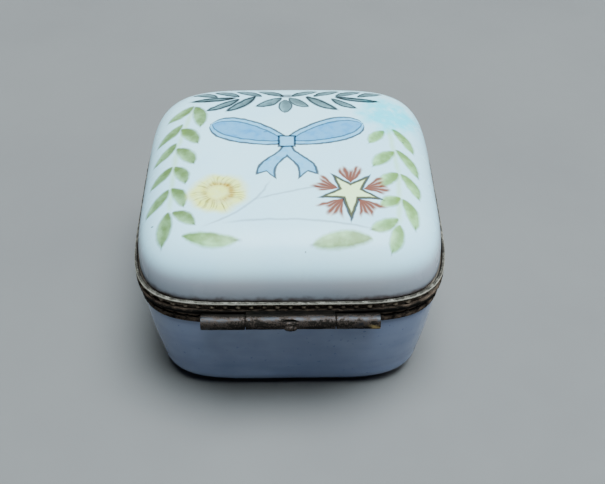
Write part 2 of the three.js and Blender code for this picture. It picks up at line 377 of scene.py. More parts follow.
# %% The leaf as a node group
LEAF_SOFTNESS = 0.36  # how far the stroke's edge fades, as a share of its half width
LEAF_BLEED = 0.1  # how far its colour runs out past the edge
LEAF_BLUNT = 0.58  # below 1, the ends are blunter than a sine wave's
LEAF_TONE = 0.95  # how dark the root is
LEAF_PALE_TIP = 0.45  # how much paler the tip is
LEAF_PALE_EDGE = 0.5
LEAF_DARK_SIDE = 0.25
LINE_WIDTH = 0.034  # half the width of an inked edge, as a share of the leaf's length
TICK_STRENGTH = 0.5  # how dark the brush left the tip
TICK_START = (0.8, 0.95)
TICK_END = (1.08, 0.98)
TICK_HALF = 0.05


def leaf_group():
    """Adds one leaf to the paint, tone and ink that come in."""
    group = bpy.data.node_groups.new("brushed_leaf", "ShaderNodeTree")
    for name, kind in (("Place", "Vector"), ("Width", "Float"), ("Bend", "Float"), ("Inked", "Float"),
                       ("Paint", "Float"), ("Tone", "Float"), ("Ink", "Float")):
        group.interface.new_socket(name, in_out="INPUT", socket_type="NodeSocket" + kind)
    for name in ("Paint", "Tone", "Ink"):
        group.interface.new_socket(name, in_out="OUTPUT", socket_type="NodeSocketFloat")
    inward = group.nodes.new("NodeGroupInput")
    place, width, bend, inked, paint, tone, ink = [NodeValue(group, s) for s in inward.outputs[:7]]
    run, across, _ = split(place)
    along = run.math("MAXIMUM", 0.0).math("MINIMUM", 1.0)
    across = across - along * bend * (along * -4.0 + 4.0)  # an arch that is 0 at both ends
    half = (along * math.pi).math("SINE").math("MAXIMUM", 0.0).math("POWER", LEAF_BLUNT) * width
    edge = half - abs(across) - abs(run - along)
    stroke = (edge / width).fade(-LEAF_BLEED, LEAF_SOFTNESS)
    side = across / (half + 0.02)
    shade = side * LEAF_DARK_SIDE - side * side * LEAF_PALE_EDGE + along * -LEAF_PALE_TIP + LEAF_TONE
    line = abs(edge - LINE_WIDTH).fade(LINE_WIDTH * 1.8, LINE_WIDTH * 0.4)
    line = line * half.fade(0.0, LINE_WIDTH) * inked
    tick = run.fade(*TICK_START) * run.fade(*TICK_END) * abs(across).fade(TICK_HALF, 0.0) * TICK_STRENGTH
    outward_node = group.nodes.new("NodeGroupOutput")
    results = (paint.math("MAXIMUM", stroke), tone + (shade - tone) * stroke,
               ink.math("MAXIMUM", line).math("MAXIMUM", tick))
    for plug, value in zip(outward_node.inputs, results):
        feed(plug, value)
    return group


brushed_leaf = leaf_group()
print("the leaf group has", len(brushed_leaf.nodes), "nodes")

# %% Stamp a leaf on a surface
def stamp(place, root, direction, length):
    """A place seen from a motif that starts at root and runs one unit along a direction in degrees."""
    mapping = place.tree.nodes.new("ShaderNodeMapping")
    mapping.vector_type = "TEXTURE"
    mapping.inputs["Location"].default_value = (root[0], root[1], 0)
    mapping.inputs["Rotation"].default_value = (0, 0, math.radians(direction))
    mapping.inputs["Scale"].default_value = (length, length, length)
    feed(mapping.inputs["Vector"], place)
    return NodeValue(place.tree, mapping.outputs[0])


def stamp_between(place, root, tip):
    """A place seen from a motif that runs from root to tip, and the motif's length."""
    span = Vector(tip) - Vector(root)
    direction = math.degrees(math.atan2(span.y, span.x))
    return stamp(place, root, direction, span.length), span.length


def paint_leaf(place, layers, leaf, inked):
    """Adds a leaf (root, tip, half width, bend) to the layers of paint, tone and ink."""
    root, tip, half_width, bend = leaf
    spot, length = stamp_between(place, root, tip)
    node = place.tree.nodes.new("ShaderNodeGroup")
    node.node_tree = brushed_leaf
    for plug, value in zip(node.inputs, (spot, half_width / length, bend, inked, *layers)):
        feed(plug, value)
    return [NodeValue(place.tree, socket) for socket in node.outputs]


print("a leaf takes a Mapping node and the leaf group")

# %% [markdown]
# ## Where the motifs lie
# The painter set a leafy branch down each side of the lid, a laurel along the far side, a yellow rosette
# and a star. Places are in millimetres from the middle of the lid, with the hinge towards -Y. Each leaf has
# a root, a tip, a half width and a bend, chosen as the painter would.

# %% Leaves of the two side branches
LEFT_LEAVES = (
    ((-19.3, 17.0), (-24.6, 12.8), 1.5, 0.05),
    ((-19.1, 16.8), (-17.6, 8.8), 1.6, 0.06),
    ((-21.2, 10.8), (-26.2, 5.7), 1.45, 0.04),
    ((-21.5, 9.2), (-17.7, 3.2), 1.65, 0.05),
    ((-22.0, 4.6), (-26.3, -0.4), 1.35, 0.04),
    ((-21.9, 2.7), (-18.0, -3.4), 1.65, 0.05),
    ((-22.3, -2.9), (-26.4, -7.5), 1.4, 0.04),
    ((-21.9, -3.3), (-19.3, -9.2), 1.45, 0.08),
    ((-22.4, -9.9), (-26.5, -15.2), 1.5, 0.04),
    ((-21.9, -9.8), (-19.2, -15.7), 1.45, 0.08),
    ((-22.1, -16.3), (-22.9, -23.4), 1.6, 0.0),
    ((-21.4, -16.6), (-16.9, -20.4), 1.4, 0.08),
)
RIGHT_LEAVES = (
    ((20.9, 8.4), (24.7, 1.6), 1.35, 0.06),
    ((19.3, 7.3), (15.9, 2.6), 1.4, -0.04),
    ((21.1, 1.5), (24.9, -6.0), 1.4, 0.07),
    ((20.8, 0.8), (16.2, -4.8), 1.6, -0.04),
    ((21.4, -6.0), (24.5, -12.6), 1.4, 0.07),
    ((21.0, -6.0), (17.2, -10.8), 1.6, -0.05),
    ((21.1, -13.5), (23.0, -20.7), 1.45, 0.08),
    ((20.9, -13.4), (16.9, -16.3), 1.6, -0.05),
    ((20.1, -20.2), (18.4, -25.5), 1.45, 0.04),
    ((20.0, -18.9), (14.6, -21.8), 1.45, 0.05),
)
FRONT_LEAVES = (
    ((-19.2, -22.2), (-8.8, -23.7), 1.5, -0.05),
    ((15.2, -23.5), (4.2, -24.7), 1.8, -0.05),
)
STEMS = (((-19.4, 16.8), (-22.0, 1.0)), ((-21.9, 4.0), (-21.8, -18.0)), ((20.2, 9.5), (21.1, -7.0)),
         ((21.2, -4.0), (19.9, -21.5)))
print(len(LEFT_LEAVES), "leaves on the left branch and", len(RIGHT_LEAVES), "on the right")

# %% Leaves of the laurel
LAUREL_NEAR = (
    ((-0.4, 18.3), (-0.6, 13.1), 1.5, 0.0),
    ((-1.2, 19.3), (-6.5, 15.5), 1.25, 0.05),
    ((-6.7, 20.2), (-12.6, 13.9), 1.2, 0.05),
    ((-10.0, 18.9), (-16.7, 14.4), 1.1, 0.05),
    ((-10.6, 19.5), (-20.3, 19.2), 1.0, 0.05),
    ((0.3, 19.3), (4.2, 15.3), 1.25, -0.05),
    ((3.8, 20.0), (10.2, 14.2), 1.25, -0.05),
    ((9.0, 18.9), (14.1, 14.9), 1.0, -0.05),
    ((9.7, 19.7), (19.0, 18.2), 0.95, -0.05),
)
LAUREL_PITCH = 4.6
LAUREL_FAR_START = 0.8
LAUREL_FAR_COUNT = 4
LAUREL_FAR_LEAF = (5.4, 3.0)  # how far each far leaf runs out and back
LAUREL_FAR_HALF = 1.1
LAUREL_FAR_BEND = 0.05
LAUREL_FAR_LINE = 19.9
LAUREL_KNOT = ((-1.9, 20.2), (1.2, 20.2))


def laurel_leaves():
    """The leaves on the near side of the stem, and a row on its far side that leans over the edge."""
    leaves = list(LAUREL_NEAR)
    for side in (-1, 1):
        for place in range(LAUREL_FAR_COUNT):
            root = Vector((side * (LAUREL_FAR_START + LAUREL_PITCH * place), LAUREL_FAR_LINE))
            tip = root + Vector((side * LAUREL_FAR_LEAF[0], LAUREL_FAR_LEAF[1]))
            leaves.append((tuple(root), tuple(tip), LAUREL_FAR_HALF, side * LAUREL_FAR_BEND))
    return leaves


print(len(laurel_leaves()), "leaves on the laurel")

# %% [markdown]
# ## Pigments
# Most porcelain paint sinks into the glaze, so it behaves like a coloured filter over white, which the
# Multiply mix gives, and its pigment is the share of light that it lets through. The glazes, the yellows of
# the rosette and the star, and the red wash are opaque, so they are body colours, laid with a plain mix.

# %% Colours of the glaze and the pigments
WHITE_GLAZE = (0.47, 0.79, 0.91, 1)
COOL_GLAZE = (0.43, 0.76, 0.91, 1)
# painted shade: the grey of the lid's lower side, where it turns away from the light
RIM_PAINTED_SHADE = (0.80, 0.505, 0.49, 1)
LEAF_LIGHT = (0.66, 0.72, 0.34, 1)
LEAF_DARK = (0.24, 0.24, 0.07, 1)
PALE_LEAF_LIGHT = (0.82, 0.97, 0.42, 1)
PALE_LEAF_DARK = (0.33, 0.36, 0.10, 1)
STEM_YELLOW = (0.88, 0.90, 0.45, 1)
LAUREL_LIGHT = (0.46, 0.50, 0.48, 1)
LAUREL_DARK = (0.19, 0.185, 0.175, 1)
LAUREL_LINE = (0.085, 0.060, 0.060, 1)
RIBBON_LIGHT = (0.36, 0.58, 0.76, 1)
RIBBON_DARK = (0.13, 0.42, 0.68, 1)
INK = (0.07, 0.045, 0.055, 1)
HALO_YELLOW = (0.75, 0.80, 0.12, 1)
RING_ORANGE = (0.66, 0.38, 0.22, 1)
STROKE_BROWN = (0.21, 0.155, 0.15, 1)
STAR_YELLOW = (0.68, 0.90, 0.42, 1)
RED_BROWN = (0.35, 0.135, 0.098, 1)
RED_WASH = (0.58, 0.41, 0.32, 1)
TEAL = (0.13, 0.87, 0.94, 1)
HAIR_GREY = (0.63, 0.56, 0.58, 1)
# grime above the wire, which also paints the shade of the groove there
SEAM_DIRT_AND_SHADE = (0.34, 0.25, 0.21, 1)


def glazed_over(colour, amount, pigment):
    """Clean glaze with a pigment on it, laid over what is there."""
    colour = mixed(amount, colour, WHITE_GLAZE)
    return mixed(amount, colour, pigment, "MULTIPLY")


def ink_edge(colour, depth, width, strength=0.9):
    """An ink line along a shape's edge, where depth is how far inside the shape a point lies."""
    return mixed(abs(depth).fade(width, width * 0.4) * strength, colour, INK, "MULTIPLY")


print("thin pigments are multiplied over the white glaze, and opaque ones are mixed in")

# %% [markdown]
# ## The branches and the laurel
# All leaves of a branch share one chain of leaf groups, so the paint of a whole branch is laid in one mix.
# The side branches are soft green washes. The laurel is greyer, and each leaf has a thin inked edge.

# %% Lay a chain of leaves, and a line
LINE_TAPER = 0.2  # share of a line's length that each end takes to fade


def paint_leaves(place, colour, leaves, light, dark, inked, wander):
    """Paints leaves that go from a light to a dark tone."""
    layers = (0.0, 0.0, 0.0)
    for leaf in leaves:
        layers = paint_leaf(place, layers, leaf, inked)
    tint = mixed((layers[1] + wander - 0.5).fade(-0.1, 1.0), light, dark)
    colour = mixed(layers[0], colour, tint, "MULTIPLY")
    return mixed(layers[2], colour, LAUREL_LINE, "MULTIPLY")


def paint_line(place, colour, start, end, width, pigment, strength, sag=0.0):
    """A thin line that tapers at both ends, and sags by a share of its length."""
    spot, length = stamp_between(place, start, end)
    along, across, _ = split(spot)
    across = across + along * (along * -4.0 + 4.0) * sag
    ends = abs(across).fade(width / length, 0.0) * along.fade(0.0, LINE_TAPER)
    line = ends * along.fade(1.0, 1 - LINE_TAPER)
    return mixed(line * strength, colour, pigment, "MULTIPLY")


print("leaves and lines can be painted")

# %% [markdown]
# ## The rosette
# The rosette is a soft yellow halo with a pale middle, a ring of orange round it and fine strokes that run
# out to the edge. Working in distance and angle from its centre turns all strokes into one: the angle is
# counted from the nearest of the even spokes, which is less work than placing each stroke.

# %% Paint the rosette
ROSETTE = (-13.0, -12.4)
ROSETTE_RADIUS = 5.9
ROSETTE_STROKES = (23, 14)  # two rounds of strokes, so that they fall unevenly
ROSETTE_MIDDLE = 1.9
HALO_FADE = (0.5, -1.7)  # where the halo ends and where it is full, counted from the rosette's edge
RING_OFFSET = 0.6  # from the edge of the pale middle
RING_WIDTH = 1.2
RING_WARMEST = 0.4  # the angle where the ring is warmest
STROKE_TAPER = 2.2
STROKE_EDGE = (0.2, 0.04)
ROSETTE_RAGGED = 2.0
WHOLE_TURNS = 100  # added to an angle so that no fraction is taken of a negative number


def polar(place, centre):
    """Distance and angle from a centre."""
    x, y, _ = split(stamp(place, centre, 0, 1))
    return (x * x + y * y).math("SQRT"), y.math("ARCTAN2", x)


def nearest(value, pitch):
    """How far a value lies from the nearest multiple of a pitch."""
    return ((value / pitch + (WHOLE_TURNS + 0.5)).math("FRACT") - 0.5) * pitch


def paint_rosette(place, colour, unsteady, wander):
    distance, angle = polar(place, ROSETTE)
    uneven = distance + unsteady * ROSETTE_RAGGED
    halo = uneven.fade(ROSETTE_RADIUS + HALO_FADE[0], ROSETTE_RADIUS + HALO_FADE[1])
    colour = mixed(halo * (wander * 0.5 + 0.55), colour, HALO_YELLOW)
    ring = abs(distance - ROSETTE_MIDDLE - RING_OFFSET).fade(RING_WIDTH, 0.0)
    ring = ring * wander.fade(0.2, 0.7, 0.4, 1.0)
    warm = (angle - RING_WARMEST).math("COSINE").fade(-1.0, 1.0, 0.35, 1.0)
    colour = mixed(ring * warm, colour, RING_ORANGE, "MULTIPLY")
    length = uneven.fade(ROSETTE_RADIUS, ROSETTE_RADIUS - STROKE_TAPER)
    length = length * distance.fade(ROSETTE_MIDDLE, ROSETTE_MIDDLE + 0.5)
    length = length * wander.fade(0.35, 0.65, 0.08, 0.55)
    for count in ROSETTE_STROKES:
        beside = nearest(angle + unsteady * 0.6, math.tau / count)
        stroke = abs(beside.math("SINE") * distance).fade(*STROKE_EDGE)
        colour = mixed(stroke * length, colour, STROKE_BROWN, "MULTIPLY")
    return colour


print("rosette", ROSETTE_RADIUS * 2, "mm across")

# %% [markdown]
# ## The star
# A five-pointed star repeats every fifth of a turn, so the angle is folded until one arm is left. In that
# fold the star's edge is a straight line. The red sprays sit in the notches and use the same fold, shifted
# by half an arm, with a fan of strokes that starts at the notch.

# %% Paint the red sprays
STAR = (11.6, -12.4)
STAR_ARMS = 5
STAR_PHASE = -92  # direction of one arm, in degrees
SPRAY_START = 2.4
SPRAY_LENGTH = 5.2
SPRAY_STROKES = 5
SPRAY_PITCH = 0.25
SPRAY_WASH = 0.6  # strength of the wash under the strokes
SPRAY_EDGE = (0.62, 0.12)
SPRAY_WAVES = 9.0  # how often the ends go in and out, for each radian of the fan
SPRAY_WAVE = 0.6
SPRAY_RAGGED = 1.5


def paint_sprays(colour, distance, angle, unsteady):
    """Strokes that fan out from each notch of the star and join at their roots."""
    turn = nearest(angle - math.radians(STAR_PHASE + 180 / STAR_ARMS), math.tau / STAR_ARMS)
    along = turn.math("COSINE") * distance - SPRAY_START
    across = turn.math("SINE") * distance
    reach = (along * along + across * across).math("SQRT")
    fan = across.math("ARCTAN2", along) + unsteady * 0.3
    spread = SPRAY_PITCH * SPRAY_STROKES / 2
    ragged = (fan * SPRAY_WAVES + angle).math("SINE") * SPRAY_WAVE + unsteady * SPRAY_RAGGED
    length = (reach + ragged).fade(SPRAY_LENGTH, SPRAY_LENGTH * 0.75)
    inside = abs(fan).fade(spread + 0.05, spread - 0.1) * length
    colour = mixed(inside * SPRAY_WASH, colour, RED_WASH)
    beside = nearest(fan, SPRAY_PITCH)
    stroke = (abs(beside.math("SINE")) * reach).fade(*SPRAY_EDGE)
    return mixed(inside * stroke, colour, RED_BROWN, "MULTIPLY")


print(STAR_ARMS, "sprays of", SPRAY_STROKES, "strokes")

# %% Paint the star
STAR_TIP = 5.5
STAR_LONG_ARM = 0.22  # how much longer the arm nearest the hinge is
STAR_WAIST = 2.0
STAR_LINE = 0.44
STAR_EDGE = (-0.2, 0.1)
STAR_STRENGTH = 0.9
STAR_INK = 0.95


def paint_star(place, colour, unsteady):
    distance, angle = polar(place, STAR)
    colour = paint_sprays(colour, distance, angle, unsteady)
    around = angle - math.radians(STAR_PHASE)
    towards = around.math("COSINE").math("MAXIMUM", 0.0).math("POWER", 3.0)
    distance = distance / (towards * STAR_LONG_ARM + 1.0)
    turn = abs(nearest(around, math.tau / STAR_ARMS))
    notch = Vector((math.cos(math.pi / STAR_ARMS), math.sin(math.pi / STAR_ARMS))) * STAR_WAIST
    slope = (notch - Vector((STAR_TIP, 0))).normalized()
    depth = (turn.math("COSINE") * distance - STAR_TIP) * -slope.y + turn.math("SINE") * distance * slope.x
    colour = mixed(depth.fade(*STAR_EDGE) * STAR_STRENGTH, colour, STAR_YELLOW)
    return ink_edge(colour, depth, STAR_LINE, STAR_INK)


print("star", STAR_TIP * 2, "mm across")

# %% [markdown]
# ## The ribbon bow
# A pale blue ribbon tied in a bow fills the middle of the lid. Its two halves mirror each other, so X is
# folded and one loop, one tail and half a knot are drawn. Each is a distance inside an outline: an egg
# shape for the loop, a widening strip with a notched end for the tail, a block for the knot.

# %% The bow's outlines
BOW_KNOT = Vector((0.0, 3.2))
BOW_LOOP_END = Vector((15.2, 9.4))
BOW_LOOP_HALF = 5.6
BOW_TAIL_END = Vector((4.0, -7.8))
BOW_TAIL_START = 0.7
BOW_TAIL_FLARE = 1.15
BOW_TAIL_WAVE = 0.7
BOW_TAIL_NOTCH = 0.8  # how steeply the tail's end is cut in


def ribbon_run(place, end):
    """How far along a ribbon a point lies, from 0 to 1, how far across in millimetres, and its length."""
    spot, length = stamp_between(place, BOW_KNOT, end)
    along, across, _ = split(spot)
    return along, across * length, length


def bow_loop(place):
    along, across, length = ribbon_run(place, BOW_LOOP_END)
    inside = along.math("MAXIMUM", 0.0).math("MINIMUM", 1.0)
    egg = (inside * (inside.math("POWER", 3.0) * -1.0 + 1.0)).math("SQRT")
    return egg * BOW_LOOP_HALF - abs(across) - abs(along - inside) * length


def bow_tail(place):
    along, across, length = ribbon_run(place, BOW_TAIL_END)
    across = abs(across + (along * math.tau).math("SINE") * BOW_TAIL_WAVE)
    side = along * BOW_TAIL_FLARE + BOW_TAIL_START - across
    end = along * -length + length - side * BOW_TAIL_NOTCH
    return side.math("MINIMUM", end).math("MINIMUM", along * length)


print("bow", BOW_LOOP_END.x * 2, "mm across")

# %% Paint the bow
BOW_OFF_CENTRE = 0.2
BOW_INSIDE = 1.25  # width of the ribbon's face, outside the opening of the loop
BOW_KNOT_HALF = 1.7
BOW_KNOT_SLIM = 1.1
BOW_SHADE = 0.55  # strength of the second wash inside the loop
BOW_EDGE = 0.15
BOW_LINE = 0.36
BOW_INNER_LINE = 0.288
BOW_INNER_INK = 0.7


def paint_bow(place, colour, wander):
    x, y, _ = split(place)
    mirrored = abs(x + BOW_OFF_CENTRE)
    join = place.tree.nodes.new("ShaderNodeCombineXYZ")
    feed(join.inputs[0], mirrored)
    feed(join.inputs[1], y)
    half = NodeValue(place.tree, join.outputs[0])
    tint = mixed(wander.fade(0.25, 0.75), RIBBON_LIGHT, RIBBON_DARK)
    light = mixed(wander.fade(0.45, 0.9), RIBBON_LIGHT, RIBBON_DARK)
    tail = bow_tail(half)
    colour = glazed_over(colour, tail.fade(0.0, BOW_EDGE), light)
    colour = ink_edge(colour, tail, BOW_LINE)
    loop = bow_loop(half)
    colour = glazed_over(colour, loop.fade(0.0, BOW_EDGE), light)
    opening = (loop - BOW_INSIDE).fade(0.0, BOW_EDGE) * BOW_SHADE
    colour = mixed(opening, colour, tint, "MULTIPLY")
    colour = ink_edge(colour, loop - BOW_INSIDE, BOW_INNER_LINE, BOW_INNER_INK)
    colour = ink_edge(colour, loop, BOW_LINE)
    knot = (mirrored * BOW_KNOT_SLIM).math("MAXIMUM", abs(y - BOW_KNOT.y)) * -1.0 + BOW_KNOT_HALF
    colour = glazed_over(colour, knot.fade(0.0, BOW_EDGE), light)
    return ink_edge(colour, knot, BOW_LINE)


print("the bow's ink lines are", BOW_LINE * 2, "mm wide")

# %% [markdown]
# ## Age
# A box that has been handled for a century has fine scratches in the glaze, a few dark specks from the kiln
# and a line of grime where the glaze meets the wire, which also paints the shade of the groove there. The
# glaze is greyed towards the wire as painted shade, where the lid's side turns away from the light. They
# are faint, but a surface without them looks new.

# %% Paint scratches, specks, grime and painted shade
HAIRLINES = (((-16.3, -21.0), (-3.0, -8.0), 0.14), ((-13.5, -20.5), (18.0, -22.4), -0.057),
             ((-7.0, -14.8), (8.5, -10.4), -0.02))
HAIR_WIDTH = 0.42
SPECK_WIDTH = 0.2
MARK_STRENGTH = 0.85
# where the painted shade on the lid's lower side starts, and where it is full
RIM_SHADE_FROM = 7.0  # how far above the wire the glaze starts to grey
RIM_SHADE_FULL = 3.0
SEAM_FADE = (1.0, -0.5)  # from where the seam's grime and painted shade start to where they are full, above the wire
SEAM_RAGGED = 0.35
SPECKS = (((-4.9, 6.3), (-4.1, 6.4)), ((-25.2, -18.2), (-24.6, -18.4)), ((2.9, -25.6), (3.2, -25.7)),
          ((22.6, 4.6), (23.0, 4.3)))


def paint_age(place, colour, wander):
    for start, end, sag in HAIRLINES:
        colour = paint_line(place, colour, start, end, HAIR_WIDTH, HAIR_GREY, MARK_STRENGTH, sag)
    for start, end in SPECKS:
        colour = paint_line(place, colour, start, end, SPECK_WIDTH, INK, MARK_STRENGTH)
    _, _, height = split(place)
    # painted shade: the glaze greys towards the wire, where the lid's side turns away from the light
    painted_rim_shade = height.fade(wire_top + RIM_SHADE_FROM, wire_top + RIM_SHADE_FULL)
    colour = mixed(painted_rim_shade, colour, RIM_PAINTED_SHADE, "MULTIPLY")
    # grime and painted shade in the groove just above the wire
    caught = height + wander.fade(0.3, 0.8, SEAM_RAGGED, -SEAM_RAGGED)
    seam = caught.fade(wire_top + SEAM_FADE[0], wire_top + SEAM_FADE[1])
    return mixed(seam, colour, SEAM_DIRT_AND_SHADE, "MULTIPLY")


print(len(HAIRLINES), "scratches and", len(SPECKS), "specks")

# %% [markdown]
# ## The lid's whole surface
# The motifs now go on in order. A small noise is added to the place first, so that every line is a little
# unsteady, as a brush is. The glaze itself is glossy and slightly wavy, which shows where it mirrors light.

# %% Lay the motifs in order
BRUSH_SHAKE = (0.5, 0.5, 0)  # how far the noise moves a stroke
TEAL_CENTRE = (20.5, 13.4)
TEAL_FADE = (8.5, 3.0)
TEAL_RAGGED = 7.0
STEM_WIDTH = 0.9
STEM_STRENGTH = 0.6
BRANCH_INK = 0.22
LAUREL_INK = 0.92
LAUREL_KNOT_WIDTH = 1.4
LAUREL_KNOT_STRENGTH = 0.95


def lid_paint(place):
    """The colour of the lid, from the bare glaze to the last speck."""
    wander = cloud(place, size=1.8, detail=3.0)
    unsteady = cloud(place, size=3.5, detail=1.0) - 0.5
    shake = cloud(place, size=1.6, detail=2.0, output="Color")
    jitter = place.tree.nodes.new("ShaderNodeVectorMath")
    jitter.operation = "MULTIPLY_ADD"
    feed(jitter.inputs[0], shake)
    jitter.inputs[1].default_value = BRUSH_SHAKE
    feed(jitter.inputs[2], place)
    shaky = NodeValue(place.tree, jitter.outputs[0])
    patches = cloud(place, size=16.0, detail=2.0).fade(0.35, 0.65)
    colour = mixed(patches, WHITE_GLAZE, COOL_GLAZE)
    teal_reach, _ = polar(shaky, TEAL_CENTRE)
    teal = (teal_reach + unsteady * TEAL_RAGGED).fade(*TEAL_FADE) * wander.fade(0.1, 0.6)
    colour = mixed(teal, colour, TEAL, "MULTIPLY")
    for start, end in STEMS:
        colour = paint_line(shaky, colour, start, end, STEM_WIDTH, STEM_YELLOW, STEM_STRENGTH)
    for leaves, light, dark, inked in (
            (LEFT_LEAVES, LEAF_LIGHT, LEAF_DARK, BRANCH_INK),
            (RIGHT_LEAVES + FRONT_LEAVES, PALE_LEAF_LIGHT, PALE_LEAF_DARK, BRANCH_INK),
            (laurel_leaves(), LAUREL_LIGHT, LAUREL_DARK, LAUREL_INK)):
        colour = paint_leaves(shaky, colour, leaves, light, dark, inked, wander)
    colour = paint_line(shaky, colour, *LAUREL_KNOT, LAUREL_KNOT_WIDTH, STROKE_BROWN,
                        LAUREL_KNOT_STRENGTH)
    colour = paint_bow(shaky, colour, wander)
    colour = paint_rosette(shaky, colour, unsteady, wander)
    colour = paint_star(shaky, colour, unsteady)
    return paint_age(shaky, colour, wander)


print(len(STEMS), "stems go on before the leaves")

# %% Glaze the lid
LID_SPECULAR = 0.15
LID_WAVE = 0.05


def painted_glaze():
    material, shader, place = new_finish("painted_white_glaze")
    feed(shader.inputs["Base Color"], lid_paint(place))
    rough = cloud(place, size=5.0, detail=2.0).fade(0.3, 0.7, 0.18, 0.3)
    feed(shader.inputs["Roughness"], rough)
    shader.inputs["Specular IOR Level"].default_value = LID_SPECULAR
    relief(shader, cloud(place, size=9.0, detail=1.0), LID_WAVE)
    return material


painted_white = painted_glaze()
print("the lid's paint has", len(painted_white.node_tree.nodes), "nodes")

# %% [markdown]
# ## Plain glazes
# Inside, the box is white and unpainted, with a faint grey cast where glaze ran thin. The base is washed
# with a thin blue, brushed round the box in faint streaks and specked where the pigment was not ground
# fine. The foot ring was wiped bare before firing, so it shows dry, creamy clay.

# %% White glaze for the inside and bare clay for the foot
def plain_glaze(name, light, dark, size, rough):
    """A mottled finish between two near colours."""
    material, shader, place = new_finish(name)
    patches = cloud(place, size=size, detail=4.0).fade(0.3, 0.7)
    feed(shader.inputs["Base Color"], mixed(patches, light, dark))
    polish = cloud(place, size=size / 3, detail=3.0).fade(0.2, 0.8, *rough)
    feed(shader.inputs["Roughness"], polish)
    relief(shader, cloud(place, size=size / 2, detail=3.0), depth=0.04)
    return material


inside_white = plain_glaze("inside_white_glaze", light=(0.76, 0.79, 0.78, 1), dark=(0.67, 0.72, 0.72, 1),
                           size=12.0, rough=(0.1, 0.22))
bare_clay = plain_glaze("bare_foot_clay", light=(0.62, 0.57, 0.49, 1), dark=(0.46, 0.41, 0.34, 1),
                        size=1.2, rough=(0.7, 0.95))
print("plain finishes:", inside_white.name, bare_clay.name)

# %% Blue wash on the base
# painted shade: both blues are darker than the base's pale glaze, to stand in for the shade its sides fall
# in
BLUE_LIGHT = (0.217, 0.268, 0.417, 1)
BLUE_DARK = (0.157, 0.201, 0.338, 1)
BLUE_SPECK = (0.68, 0.72, 0.82, 1)
WASH_STRETCH = (0.15, 0.15, 1.0)  # streaks run round the box, so they are long in X and Y
WASH_STREAKS = 0.3


def blue_wash():
    material, shader, place = new_finish("blue_washed_glaze")
    streaks = cloud(place, size=4.0, detail=3.0, stretch=WASH_STRETCH)
    patches = cloud(place, size=11.0, detail=3.0)
    depth = (streaks * WASH_STREAKS + patches * (1 - WASH_STREAKS)).fade(0.34, 0.66)
    colour = mixed(depth, BLUE_LIGHT, BLUE_DARK)
    specks = cloud(place, size=0.9, detail=2.0).fade(0.66, 0.76)
    colour = mixed(specks, colour, BLUE_SPECK, "MULTIPLY")
    feed(shader.inputs["Base Color"], colour)
    feed(shader.inputs["Roughness"], patches.fade(0.3, 0.7, 0.14, 0.24))
    relief(shader, streaks, depth=0.05)
    return material


blue_glaze = blue_wash()
print("the blue wash has", len(blue_glaze.node_tree.nodes), "nodes")

# %% [markdown]
# ## Old brass
# The mounts were gilded once. The gold is worn off where hands and cloth reach, leaving a silvery brass,
# and grime has gathered in the hollows. A single metal colour would look new, so each metal piece carries a
# wear value on its vertices, and the finish goes from near-black grime over tarnish to bright metal with
# it. The near-black end also paints the shade in cracks and hollows, and on some pieces the wear value
# paints light and shade too, as noted where it is stored.

# %% Brass from grime and painted shade to bright
# near-black grime, which also paints the shade in cracks and hollows
GRIME_AND_SHADE = (0.005, 0.004, 0.003, 1)
TARNISH = (0.130, 0.094, 0.070, 1)
# lighter than this old brass would be, as painted light for the lid band's skirt under the wire's shadow
BAND_BRASS = (0.170, 0.150, 0.125, 1)
# lighter than the bands' brass, as painted light for the pearls under the wire's shadow
PEARL_BRASS_LIT = (0.42, 0.35, 0.26, 1)
# a light colour that also paints the highlight along the wire's outer face
WIRE_SILVER_AND_HIGHLIGHT = (0.36, 0.34, 0.285, 1)
WIRE_TARNISH = (0.040, 0.036, 0.030, 1)
HINGE_STEEL = (0.032, 0.033, 0.037, 1)
HINGE_TARNISH = (0.054, 0.040, 0.033, 1)
GILT = (0.33, 0.24, 0.10, 1)
GILT_FROM = 13.4  # how far along the hinge the last of its gilding starts
GILT_FADE = 1.8
METAL_SPECULAR = 0.1


def aged_metal(name, bright, patchy=0.7, grainy=0.35, shine=1.0, tarnish=TARNISH, stretch=(1, 1, 1),
               gilded=0.0):
    """A metal whose brightness follows the wear value and a patchy noise."""
    material, shader, place = new_finish(name)
    node = place.tree.nodes.new("ShaderNodeAttribute")
    node.attribute_name = "wear_and_light"
    wear_and_light = NodeValue(place.tree, node.outputs["Fac"])
    patches = cloud(place, size=1.3, detail=4.0, stretch=stretch)
    grain = cloud(place, size=0.25, detail=3.0)
    level = wear_and_light + (patches - 0.5) * patchy + (grain - 0.5) * grainy
    # low wear goes to grime and painted shade, high wear to bright metal
    colour = mixed(level.fade(0.2, 0.55), GRIME_AND_SHADE, tarnish)
    colour = mixed(level.fade(0.45, 0.85), colour, bright)
    along, _, height = split(place)
    gilding = along.fade(GILT_FROM, GILT_FROM + GILT_FADE) * height.fade(parting + 0.7, parting - 0.1)
    colour = mixed(gilding * patches.fade(0.42, 0.58) * gilded, colour, GILT)
    feed(shader.inputs["Base Color"], colour)
    feed(shader.inputs["Metallic"], level.fade(0.3, 0.7, 0.0, shine))
    feed(shader.inputs["Roughness"], level.fade(0.1, 0.9, 0.8, 0.5))
    shader.inputs["Specular IOR Level"].default_value = METAL_SPECULAR
    relief(shader, grain, depth=0.03)
    return material


